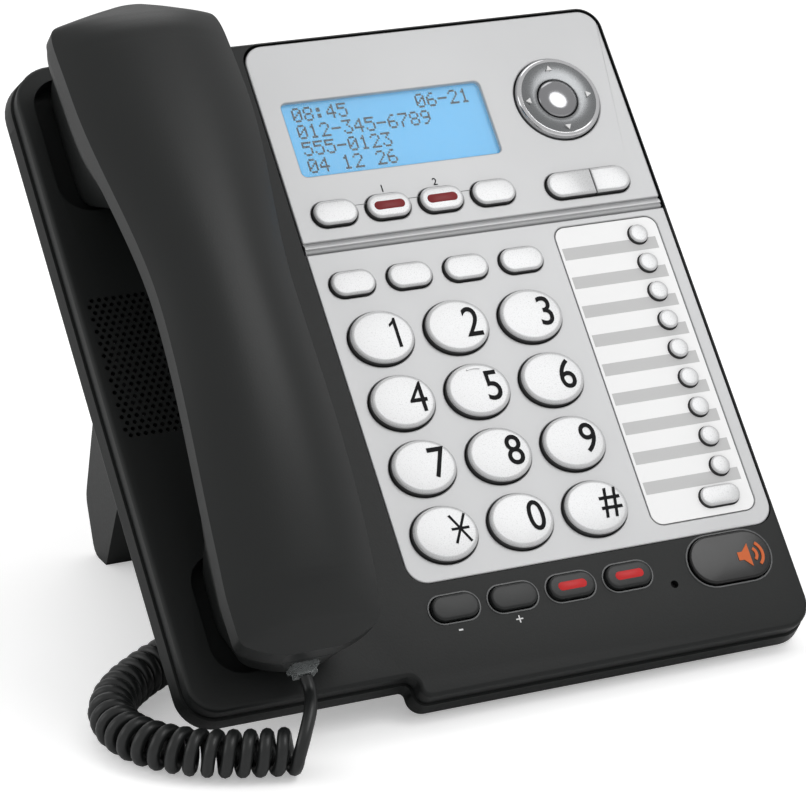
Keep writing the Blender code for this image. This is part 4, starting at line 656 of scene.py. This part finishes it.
def lamp_window(name, place, size, top, look, body):
    """A small red window in a key, for its lamp."""
    rows = [(0, -0.0002), (0, 0.00004), (0.00012, 0.00012)]
    rings = [[(x, y, top + z) for x, y in pill(place, size, -inset)] for inset, z in rows]
    put(name, skin(bmesh.new(), rings, close=0.00008), look, body, angle=60)


def rim(name, place, size, look):
    """A thin moulded ring round a key's hole, in a grey that is a painted edge highlight."""
    outer = prisms((pill(place, size, RIM_WIDTH), -0.0004, RIM_HEIGHT))
    inner = prisms((pill(place, size, KEY_GAP), -OVER, OVER))
    put(name, carve(outer, ("DIFFERENCE", inner)), look, "base", bevel=0.00012)


def keys():
    for label, (x, y) in zip(DIGIT_NAMES, DIGIT_PLACES):
        cap("cap_" + label, lambda by: oval((x, y), (DIGIT_RADII[0] + by, DIGIT_RADII[1] + by), 56), DIGIT_RISE,
            DIGIT_CROWN, KEY_SILVER, f"key_{label}_body", f"key_{label}")
    for name, place in zip(("redial", "flash", "pause", "remove"), UPPER_ROW):
        cap(name + "_cap", lambda by: pill(place, SILVER_PILL, by), PILL_RISE, PILL_CROWN, KEY_SILVER,
            name + "_key_body", name + "_key")
    for name, place in zip(("conference", "line_1", "line_2", "hold"), LINE_ROW):
        cap(name + "_cap", lambda by: pill(place, SILVER_PILL, by), PILL_RISE, PILL_CROWN, KEY_SILVER,
            name + "_key_body", name + "_key")
        if "line" in name:
            lamp_window(name + "_lamp", place, LINE_LAMP, PILL_RISE, LAMP_DARK, name + "_key_body")
    for name, place in zip(("volume_down", "volume_up", "headset", "mute"), BLACK_ROW):
        cap(name + "_cap", lambda by: pill(place, BLACK_PILL, by), PILL_RISE, PILL_CROWN, KEY_BLACK,
            name + "_key_body", name + "_key")
        rim(name + "_rim", place, BLACK_PILL, HIGHLIGHT_AND_SHADE_GREY)
        if name in ("headset", "mute"):
            lamp_window(name + "_lamp", place, BLACK_LAMP, PILL_RISE, LAMP_RED, name + "_key_body")
    for number, (x, y) in enumerate(MEMORY_PLACES, 1):
        cap(f"memory_cap_{number}", lambda by: oval((x, y), (MEMORY_RADIUS + by, MEMORY_RADIUS + by), 32),
            MEMORY_RISE, 0.00008, KEY_SILVER, f"memory_key_{number}_body", f"memory_key_{number}")
    cap("page_cap", lambda by: pill(PAGE_CENTRE, PAGE_SIZE, by), MEMORY_RISE, 0.00010, KEY_SILVER, "page_key_body",
        "page_key")
    cap("speaker_cap", lambda by: pill(SPEAKER_CENTRE, SPEAKER_SIZE, by, 24), 0.0014, 0.00016, GLOSS_BLACK,
        "speaker_key_body", "speaker_key")
    rim("speaker_rim", SPEAKER_CENTRE, SPEAKER_SIZE, HIGHLIGHT_AND_SHADE_GREY)
    length, height = CANCEL_SIZE
    left = CANCEL_CENTRE[0] - length / 2
    split = left + length * CANCEL_SHARE
    halves = (("cancel", left, split - KEY_GAP / 2, -1), ("menu", split + KEY_GAP / 2, left + length, 1))
    for name, start, end, way in halves:
        middle = ((start + end) / 2, CANCEL_CENTRE[1])

        def half_pill(by):
            reach = (end - start) / 2
            bend = height / 2
            shape = arc((reach - bend, 0), bend + by, -pi / 2, pi / 2, 14)
            shape += [(-reach - min(by, 0) / 3, bend + by), (-reach - min(by, 0) / 3, -bend - by)]
            return [(middle[0] + way * a, middle[1] + way * b) for a, b in shape]
        cap(name + "_cap", half_pill, PILL_RISE, 0.00010, KEY_SILVER, name + "_key_body", name + "_key")


keys()


# Lettering: digits and plain signs printed on the caps and beside them, as thin raised ink. Words and
# names are left out.
INK_BLACK = surface("ink_black", (0.004, 0.004, 0.005), 0.50, scale=2600, depth=0.000002,
                    Specular_IOR_Level=0.1)
INK_WHITE = surface("ink_white", (0.70, 0.70, 0.70), 0.50, scale=2600, depth=0.000002)
INK_ORANGE = surface("ink_orange", (0.60, 0.13, 0.035), 0.45, scale=2600, depth=0.000002,
                     Specular_IOR_Level=0.2)
SIGN_OFFSET = (0.0045, 0.0005)
SIGN_HEIGHT = 0.0094
# The figure one, as shares of its height: a stem with a short flag
FIGURE_ONE = [(0.06, 0.5), (0.06, -0.5), (-0.05, -0.5), (-0.05, 0.30), (-0.19, 0.20), (-0.19, 0.30),
              (-0.06, 0.40), (-0.01, 0.5)]
# The star's three lines, from end to end about its middle
STAR_LINES = [(-0.0024, 0.0043, 0.0024, -0.0043), (0.0024, 0.0043, -0.0024, -0.0043), (-0.0028, 0, 0.0028, 0)]
STAR_WIDTH = 0.0008
FIVE_RIDGE = (0.0064, 0.0068)
LINK_HEIGHT = 0.0019
LINK_INSET = 0.0064
LINK_WIDTH = 0.00022
SPEAKER_SIGN = (0.0056, -0.0005)
SPEAKER_SIGN_SCALE = 1.15


def printed(name, text, place, height, squeeze, look, body, level, weight=0.0):
    """A printed sign: its middle, its height, and how far it is squeezed sideways; level gives the
    surface's height at a place."""
    curve = bpy.data.curves.new("sign", "FONT")
    curve.body = text
    curve.resolution_u = 5
    curve.offset = weight
    sign = bpy.data.objects.new("sign", curve)
    bpy.context.scene.collection.objects.link(sign)
    bpy.context.view_layer.update()
    bm = bmesh.new()
    bm.from_mesh(sign.evaluated_get(bpy.context.evaluated_depsgraph_get()).to_mesh())
    bpy.data.objects.remove(sign, do_unlink=True)
    bpy.data.curves.remove(curve)
    flat = np.array([vert.co for vert in bm.verts])
    low, high = flat.min(0), flat.max(0)
    scale = height / (high[1] - low[1])
    for vert in bm.verts:
        x = place[0] + (vert.co.x - (low[0] + high[0]) / 2) * scale * squeeze
        y = place[1] + (vert.co.y - (low[1] + high[1]) / 2) * scale
        vert.co = (x, y, level(x, y) + INK_THICK)
    put(name, bm, look, body)


def stroke(start, end, width):
    """The outline of a straight printed line."""
    way = (Vector(end) - Vector(start)).normalized() * width / 2
    return [(start[0] - way.y, start[1] + way.x), (start[0] + way.y, start[1] - way.x),
            (end[0] + way.y, end[1] - way.x), (end[0] - way.y, end[1] + way.x)]


def cap_top(centre):
    """The height of a number key's domed top, by place."""
    def level(x, y):
        out = ((x - centre[0]) / DIGIT_RADII[0]) ** 2 + ((y - centre[1]) / DIGIT_RADII[1]) ** 2
        return DIGIT_RISE + DIGIT_CROWN * (1 - out)
    return level


def inked(name, outlines, look, body, level):
    bm = bmesh.new()
    for outline in outlines:
        bm.faces.new([bm.verts.new((x, y, level(x, y) + INK_THICK)) for x, y in outline])
    put(name, bm, look, body)


def lettering():
    signs = dict(zip(DIGIT_NAMES, ["1", "2", "3", "4", "5", "6", "7", "8", "9", "*", "0", "#"]))
    for label, centre in zip(DIGIT_NAMES, DIGIT_PLACES):
        x, y = centre[0] + SIGN_OFFSET[0], centre[1] + SIGN_OFFSET[1]
        name, body, level = "print_" + label, f"key_{label}_body", cap_top(centre)
        if label == "1":
            shape = [(x + a * SIGN_HEIGHT, y + b * SIGN_HEIGHT) for a, b in FIGURE_ONE]
            inked(name, [shape], INK_BLACK, body, level)
        elif label == "star":
            lines = [stroke((x + a, y + b), (x + c, y + d), STAR_WIDTH) for a, b, c, d in STAR_LINES]
            inked(name, lines, INK_BLACK, body, level)
        else:
            height = SIGN_HEIGHT * 0.97 if label == "pound" else SIGN_HEIGHT
            printed(name, signs[label], (x, y), height, 0.88, INK_BLACK, body, level,
                    weight=0.0 if label == "4" else 0.006)
    x, y = DIGIT_PLACES[4]
    ridge = arc((x, y), FIVE_RIDGE[1], 1.25, 1.89, 8) + arc((x, y), FIVE_RIDGE[0], 1.89, 1.25, 8)
    bm = prisms((ridge, DIGIT_RISE - GAP, DIGIT_RISE + GAP))
    put("five_ridge", bm, KEY_SILVER, "key_5_body")
    for number, (x, y) in enumerate(LINE_ROW[1:3], 1):
        printed(f"print_line_{number}", str(number), (x, y + 0.0062), 0.0024, 0.95, INK_BLACK, "display",
                lambda a, b: 0, 0.012)
    for name, text, height, (x, y) in (("minus", "-", 0.0005, BLACK_ROW[0]), ("plus", "+", 0.0022, BLACK_ROW[1])):
        printed("print_" + name, text, (x, y - 0.0066), height, 1.0, INK_WHITE, "base", lambda a, b: 0)
    # The grey strokes between the line keys are painted shade of a groove that links them, laid as flat ink
    height = LINE_ROW[0][1] + LINK_HEIGHT
    links = [stroke((a[0] + LINK_INSET, height), (b[0] - LINK_INSET, height), LINK_WIDTH)
             for a, b in zip(LINE_ROW, LINE_ROW[1:])]
    inked("line_links", links, HIGHLIGHT_AND_SHADE_GREY, "display", lambda a, b: 0)


def speaker_sign():
    """A plain loudspeaker sign: a cone and two sound waves."""
    x, y = SPEAKER_CENTRE[0] + SPEAKER_SIGN[0], SPEAKER_CENTRE[1] + SPEAKER_SIGN[1]
    top = 0.0014 + INK_THICK
    shapes = [[(-0.0030, -0.0011), (-0.0016, -0.0011), (0.0004, -0.0031), (0.0004, 0.0031), (-0.0016, 0.0011),
               (-0.0030, 0.0011)]]
    for radius in (0.0023, 0.0040):
        shapes.append(arc((0.0004, 0), radius, -0.9, 0.9, 10) + arc((0.0004, 0), radius - 0.0008, 0.9, -0.9, 10))
    scaled = [[(x + a * SPEAKER_SIGN_SCALE, y + b * SPEAKER_SIGN_SCALE) for a, b in shape] for shape in shapes]
    bm = prisms(*[(shape, top, top + 0.00025) for shape in scaled])
    put("speaker_sign", bm, INK_ORANGE, "speaker_key_body")


lettering()
speaker_sign()


# Display unit: a silver fascia with its hinge barrel, a black back tray, a blue liquid-crystal panel
# with dot-matrix numbers, and a clear window over it. It tilts as one.
BARREL_RADIUS = 0.00175
BARREL_GROOVE = 0.0005
WINDOW_CENTRE = (0.0157, 0.1743)
WINDOW_SIZE = (0.0647, 0.0243)
WINDOW_RADIUS = 0.0016
NAV_CENTRE = (0.0718, 0.1772)
NAV_RADIUS = 0.0136
LCD_TOP = -0.00185
LCD_BLUE = surface("lcd_blue", (0.06, 0.40, 0.72), 0.45, scale=1500, depth=0.0, variation=0.03,
                   Emission_Color=(0.07, 0.50, 0.90, 1), Emission_Strength=0.22)
LCD_DOT = surface("lcd_dot", (0.003, 0.006, 0.016), 0.50, scale=1500, depth=0.0, Specular_IOR_Level=0.1)
CLEAR = surface("clear_window", (0.80, 0.92, 0.97), 0.05, scale=300, depth=0.0, variation=0.0, spread=0.02,
                Alpha=0.10)
PLUG_CLEAR = surface("plug_clear", (0.30, 0.32, 0.32), 0.15, scale=300, depth=0.000004, variation=0.0,
                     Alpha=0.35)
# Rows of a dot-matrix character, top to bottom, each as five bits
DOTS = {"0": (14, 17, 19, 21, 25, 17, 14), "1": (4, 12, 4, 4, 4, 4, 14), "2": (14, 17, 1, 2, 4, 8, 31),
        "3": (31, 2, 4, 2, 1, 17, 14), "4": (2, 6, 10, 18, 31, 2, 2), "5": (31, 16, 30, 1, 1, 17, 14),
        "6": (6, 8, 16, 30, 17, 17, 14), "7": (31, 1, 2, 4, 8, 8, 8), "8": (14, 17, 17, 14, 17, 17, 14),
        "9": (14, 17, 17, 15, 1, 2, 12), ":": (0, 12, 12, 0, 12, 12, 0), "-": (0, 0, 0, 31, 0, 0, 0)}
LCD_DOT_PITCH = (0.00061, 0.00068)
LCD_DOT_SHARE = 0.985
LCD_LINE_PITCH = 0.0057
LCD_START = (-0.0291, 0.0113)
LCD_LINES = ["08:45      06-21", "012-345-6789", "555-0123", "04 12 26"]


def upper_fascia():
    slab = prisms((panel(DISPLAY, 0, PLATE_RADIUS), -PLATE_THICK, 0))
    under = -PLATE_THICK - OVER
    holes = [(pill(place, SILVER_PILL, KEY_GAP), under, OVER) for place in LINE_ROW]
    holes += [(pill(CANCEL_CENTRE, CANCEL_SIZE, KEY_GAP), under, OVER),
              (oval(NAV_CENTRE, (NAV_RADIUS + KEY_GAP, NAV_RADIUS + KEY_GAP), 72), under, OVER),
              (around(WINDOW_CENTRE, WINDOW_SIZE, WINDOW_RADIUS, GAP / 2), under, OVER)]
    bm = carve(slab, ("DIFFERENCE", prisms(*holes)))
    put("upper_fascia", bm, PAINT_SILVER, "display", ["display_bezel"], bevel=0.0005)
    left, right = DISPLAY[0] + GAP, DISPLAY[1] - GAP
    turns = np.arange(60) * pi / 30
    radii = BARREL_RADIUS - BARREL_GROOVE * np.exp(-((turns - 1.95) / 0.17) ** 2)
    barrel = [[(x, HINGE[1] + radius * cos(t), HINGE[2] + radius * sin(t)) for t, radius in zip(turns, radii)]
              for x in (left, right)]
    put("hinge_barrel", skin(bmesh.new(), barrel), PAINT_SILVER, "display")
    web = (left, right, HINGE[1], DISPLAY[2] + 3 * GAP)
    put("hinge_web", prisms((panel(web), -PLATE_THICK, -3 * GAP)), PAINT_SILVER, "display")


def lcd():
    put("lcd_panel", prisms((around(WINDOW_CENTRE, WINDOW_SIZE, 0, 0.0012), LCD_TOP - INK_THICK, LCD_TOP)), LCD_BLUE,
        "display")
    across, down = LCD_DOT_PITCH
    wide, high = across * LCD_DOT_SHARE, down * LCD_DOT_SHARE
    start = (WINDOW_CENTRE[0] + LCD_START[0], WINDOW_CENTRE[1] + LCD_START[1])
    dots = []
    for line, text in enumerate(LCD_LINES):
        for column, sign in enumerate(text):
            for row, bits in enumerate(DOTS.get(sign, ())):
                for bit in range(5):
                    if bits >> (4 - bit) & 1:
                        x = start[0] + (column * 6 + bit) * across
                        y = start[1] - line * LCD_LINE_PITCH - row * down
                        dots.append((panel((x, x + wide, y - high, y)), LCD_TOP, LCD_TOP + INK_THICK))
    put("lcd_numbers", prisms(*dots), LCD_DOT, "display")


upper_fascia()
lcd()
paint(CLEAR, "display_window")
paint(CASING_BLACK, "display_back", "display_module")
paint(PLUG_CLEAR, "handset_plug", "base_plug")


# Navigation pad: a dark plated ring with a dished face, a bright turned rim and four arrows, round a
# smoky chrome dome.
RIM_BRIGHT = surface("nav_bright", (0.62, 0.62, 0.63), 0.16, scale=1200, depth=0.000002, spread=0.05, Metallic=1.0)
RING_SMOKE = surface("nav_smoke", (0.20, 0.205, 0.21), 0.28, scale=1200, depth=0.000002, spread=0.08, Metallic=0.85)
DOME_CHROME = surface("nav_chrome", (0.30, 0.30, 0.31), 0.14, scale=900, depth=0.000001, spread=0.03, Metallic=1.0)
NAV_DOME = 0.0064


def turned(name, profile, look, body, nodes, angle=40):
    """A turned piece round the pad's axis, from (radius, height) points."""
    bm = bmesh.new()
    sides = 96
    rows = []
    for radius, z in profile:
        if radius:
            turns = np.arange(sides) * 2 * pi / sides
            rows.append([bm.verts.new((NAV_CENTRE[0] + radius * cos(t), NAV_CENTRE[1] + radius * sin(t), z))
                         for t in turns])
        else:
            rows.append([bm.verts.new((*NAV_CENTRE, z))] * sides)
    for low, high in zip(rows, rows[1:]):
        for i in range(sides):
            corners = dict.fromkeys((low[i - 1], low[i], high[i], high[i - 1]))
            bm.faces.new(list(corners))
    put(name, bm, look, body, nodes, angle=angle)


def navigation_pad():
    dome = [(0, -0.0040)] + [(NAV_DOME, -0.0040), (NAV_DOME, 0.0002)]
    dome += [(NAV_DOME * cos(t), 0.0003 + 0.0021 * sin(t)) for t in np.linspace(0.1, pi / 2 - 0.12, 9)]
    dome += [(0, 0.0024)]
    turned("nav_dome_cap", dome, DOME_CHROME, "pad_dome", ["nav_dome"])
    inner = NAV_DOME + GAP
    ring = [(inner, -0.0014), (inner, 0.0005)]
    radii = np.linspace(inner + 0.0003, 0.0120, 8)
    ring += [(r, 0.0006 + 0.0011 * ((r - inner) / (0.0120 - inner)) ** 2) for r in radii]
    ring += [(0.0120, -0.0014), (inner, -0.0014)]
    turned("nav_ring_face", ring, RING_SMOKE, "pad_ring", ["nav_ring"])
    edge = [(0.01205, -0.0014), (0.01205, 0.0017), (0.0124, 0.0019), (0.0129, 0.0018), (0.0134, 0.0013),
            (NAV_RADIUS, 0.0006), (NAV_RADIUS, -0.0014), (0.01205, -0.0014)]
    turned("nav_ring_edge", edge, RIM_BRIGHT, "pad_ring", [])
    arrows = []
    for quarter in range(4):
        turn = quarter * pi / 2
        middle = (NAV_CENTRE[0] + 0.0100 * cos(turn), NAV_CENTRE[1] + 0.0100 * sin(turn))
        corners = [(0.0011 * cos(turn + t), 0.0011 * sin(turn + t)) for t in (0, 2 * pi / 3, 4 * pi / 3)]
        arrows.append(([(middle[0] + a, middle[1] + b) for a, b in corners], 0.0008, 0.0015))
    put("nav_arrows", prisms(*arrows), INK_WHITE, "pad_ring")


navigation_pad()


# Handset: two satin black mouldings that meet at a parting line under the crisp edge. The back is one
# long arch; the front drops into the cradle's pans at the ear and the mouth.
HANDSET_BLACK = surface("handset_black", (0.0095, 0.0105, 0.0103), 0.42, scale=1900, depth=0.00002,
                        Specular_IOR_Level=0.32)
HANDSET_BACK = 0.2074
EAR_WIDTH = 0.0516
GRIP_WIDTH = 0.0396
MOUTH_WIDTH = 0.0437
EDGE_TOP = 0.0362
EDGE_MOUTH = 0.0215
EDGE_EAR = 0.0280
TOP_Y = 0.1120
CROWN = 0.0085
BAND = 0.0062
GRIP_DEPTH = 0.0115
LIP = 0.0008
EAR_START, EAR_FLAT, EAR_WIDE = 0.1480, 0.1680, 0.1780
MOUTH_START, MOUTH_FLAT = 0.0620, 0.0440
# Towards each end: place along the length, draw-in of the width, lift of the underside, height of the crown
EAR_END = [(0.0, 0.330, 0.55, 0.42), (0.005, 0.225, 0.50, 0.49), (0.012, 0.125, 0.40, 0.58),
           (0.0185, 0.050, 0.30, 0.66), (0.0265, 0.020, 0.20, 0.75), (0.041, 0.006, 0.08, 0.88),
           (0.058, 0.001, 0.02, 0.97), (0.080, 0.0, 0.0, 1.0)]
MOUTH_END = [(0.0, 0.270, 0.62, 0.0), (0.0056, 0.190, 0.57, 0.11), (0.0133, 0.112, 0.51, 0.25),
             (0.021, 0.055, 0.45, 0.37), (0.0285, 0.030, 0.40, 0.48), (0.041, 0.020, 0.32, 0.64),
             (0.075, 0.006, 0.12, 0.92), (0.092, 0.001, 0.03, 0.985),
             (0.110, 0.0, 0.0, 1.0)]
UNDER_SHARES = [(1.0, 0.10), (0.985, 0.16), (0.87, 0.34), (0.80, 0.60), (0.745, 0.90), (0.70, 0.985), (0.60, 1.0)]


def eased(at, knots):
    """A smooth value between (place, value) knots."""
    places = [knot[0] for knot in knots]
    i = max(0, min(len(knots) - 2, int(np.searchsorted(places, at)) - 1))
    share = max(0.0, min(1.0, (at - places[i]) / (places[i + 1] - places[i])))
    share = share * share * (3 - 2 * share)
    return knots[i][1] + (knots[i + 1][1] - knots[i][1]) * share


def handset_edge(y):
    end, low = (HANDSET_FRONT, EDGE_MOUTH) if y < TOP_Y else (HANDSET_BACK, EDGE_EAR)
    share = (y - TOP_Y) / (end - TOP_Y)
    return EDGE_TOP - (EDGE_TOP - low) * share * share


def handset_half(y):
    return eased(y, [(MOUTH_FLAT, MOUTH_WIDTH / 2), (TOP_Y, GRIP_WIDTH / 2), (EAR_WIDE, EAR_WIDTH / 2)])


def handset_floor(y):
    grip = handset_edge(y) - BAND - GRIP_DEPTH
    if y < (MOUTH_START + EAR_START) / 2:
        return eased(y, [(MOUTH_FLAT, -MOUTH_PAN[3] + GAP), (MOUTH_START, grip)])
    return eased(y, [(EAR_START, grip), (EAR_FLAT, -EAR_PAN[3] + GAP)])


def handset_rows():
    """(place, draw-in, lift, crown) from the mouth end to the ear end."""
    length = HANDSET_BACK - HANDSET_FRONT
    mouth = smooth([(a, b, c, d) for a, b, c, d in MOUTH_END], 0.004)
    ear = smooth([(a, b, c, d) for a, b, c, d in EAR_END], 0.004)
    for along, draw, lift, crown in mouth:
        yield HANDSET_FRONT + length * along, draw, lift, crown
    for y in np.linspace(HANDSET_FRONT + length * 0.11, HANDSET_BACK - length * 0.08, 60):
        yield y, 0, 0, 1
    for along, draw, lift, crown in reversed(ear):
        yield HANDSET_BACK - length * along, draw, lift, crown


def handset():
    upper, lower = [], []
    shares = np.linspace(0, 1, 15)
    for y, draw, lift, crown in handset_rows():
        half = handset_half(y) - max(0, draw) * EAR_WIDTH
        edge = handset_edge(y)
        seam = edge - BAND
        deep = (seam - handset_floor(y)) * (1 - max(0, lift))
        rise = CROWN * max(0, min(1, crown))
        right = [(half * t, edge + rise * (1 - t ** 2.3)) for t in shares] + [(half, seam + GAP / 2)]
        upper.append([(CRADLE_X + x, y, z) for x, z in right + [(-x, z) for x, z in reversed(right) if x]])
        right = [(0, seam - GAP / 2), (half - LIP, seam - GAP / 2)]
        right += [((half - LIP) * out, seam - deep * down) for out, down in UNDER_SHARES] + [(0, seam - deep)]
        lower.append([(CRADLE_X + x, y, z) for x, z in right + [(-x, z) for x, z in reversed(right) if x]])
    put("handset_top_half", skin(bmesh.new(), upper), HANDSET_BLACK, "handset", ["handset_back_shell"],
        bevel=0.0005, steps=3, angle=38)
    turns = np.arange(6) * pi / 3
    ear_y, mouth_y = EAR_FLAT + 0.0108, MOUTH_FLAT - 0.0053
    spots = [(0, ear_y, -EAR_PAN[3])] + [(0.006 * cos(t), ear_y + 0.006 * sin(t), -EAR_PAN[3]) for t in turns]
    spots += [(x, mouth_y, -MOUTH_PAN[3]) for x in (-0.003, 0, 0.003)]
    holes = [(oval((CRADLE_X + x, y), (0.0010, 0.0010), 16), floor - OVER, floor + WALL) for x, y, floor in spots]
    seat = around((CRADLE_X, HANDSET_PLUG_HEIGHT), (0.0076, 0.0062), 0, GAP)
    ends = (HANDSET_FRONT - OVER, HANDSET_FRONT + PLUG_SEAT + GAP)
    socket = skin(bmesh.new(), [[(x, y, z) for x, z in seat] for y in ends])
    bm = carve(skin(bmesh.new(), lower), ("DIFFERENCE", prisms(*holes)), ("DIFFERENCE", socket))
    put("handset_front_half", bm, HANDSET_BLACK, "handset", ["handset_front_shell"], bevel=0.0004,
        steps=2, angle=38)


handset()


# Floor and light: a pale floor, a large soft light from the upper right and weaker ones round it.
def floor_and_light():
    bm = bmesh.new()
    bmesh.ops.create_grid(bm, x_segments=1, y_segments=1, size=4)
    mesh = bpy.data.meshes.new("floor")
    bm.to_mesh(mesh)
    bm.free()
    floor = bpy.data.objects.new("floor", mesh)
    bpy.context.scene.collection.objects.link(floor)
    pale = bpy.data.materials.new("pale_floor")
    pale.use_nodes = True
    tree = pale.node_tree
    shader = tree.nodes["Principled BSDF"]
    shader.inputs["Base Color"].default_value = (0.93, 0.93, 0.93, 1)
    shader.inputs["Roughness"].default_value = 0.9
    shader.inputs["Emission Color"].default_value = (1, 1, 1, 1)
    rays = group_node(tree, "ShaderNodeLightPath")
    glow = group_node(tree, "ShaderNodeMath", operation="MULTIPLY")
    glow.inputs[1].default_value = 0.34
    tree.links.new(rays.outputs["Is Camera Ray"], glow.inputs[0])
    tree.links.new(glow.outputs[0], shader.inputs["Emission Strength"])
    mesh.materials.append(pale)
    world = bpy.data.worlds.new("studio")
    world.use_nodes = True
    bpy.context.scene.world = world
    tree = world.node_tree
    backdrop = tree.nodes["Background"]
    backdrop.inputs["Color"].default_value = (1, 1, 1, 1)
    rays = group_node(tree, "ShaderNodeLightPath")
    either = group_node(tree, "ShaderNodeMath", operation="MAXIMUM")
    level = group_node(tree, "ShaderNodeMapRange")
    level.inputs["To Min"].default_value = 0.70
    level.inputs["To Max"].default_value = 1.0
    tree.links.new(rays.outputs["Is Camera Ray"], either.inputs[0])
    tree.links.new(rays.outputs["Is Transmission Ray"], either.inputs[1])
    tree.links.new(either.outputs[0], level.inputs["Value"])
    tree.links.new(level.outputs["Result"], backdrop.inputs["Strength"])
    lamps = (("key_light", (0.45, 0.62, 0.40), 0.50, 2.0), ("left_light", (-0.75, 0.25, 0.25), 0.50, 0.8),
             ("top_light", (-0.10, 0.70, -0.25), 0.45, 0.8))
    for name, (across, up, near), size, power in lamps:
        light = bpy.data.lights.new(name, "AREA")
        light.shape = "DISK"
        light.size = size
        light.energy = power
        lamp = bpy.data.objects.new(name, light)
        bpy.context.scene.collection.objects.link(lamp)
        lamp.location = key_five + aside * across + above * up + back * near
        lamp.rotation_euler = (lamp.location - key_five).to_track_quat("Z", "Y").to_euler()
    bpy.context.scene.view_settings.view_transform = "Standard"


floor_and_light()
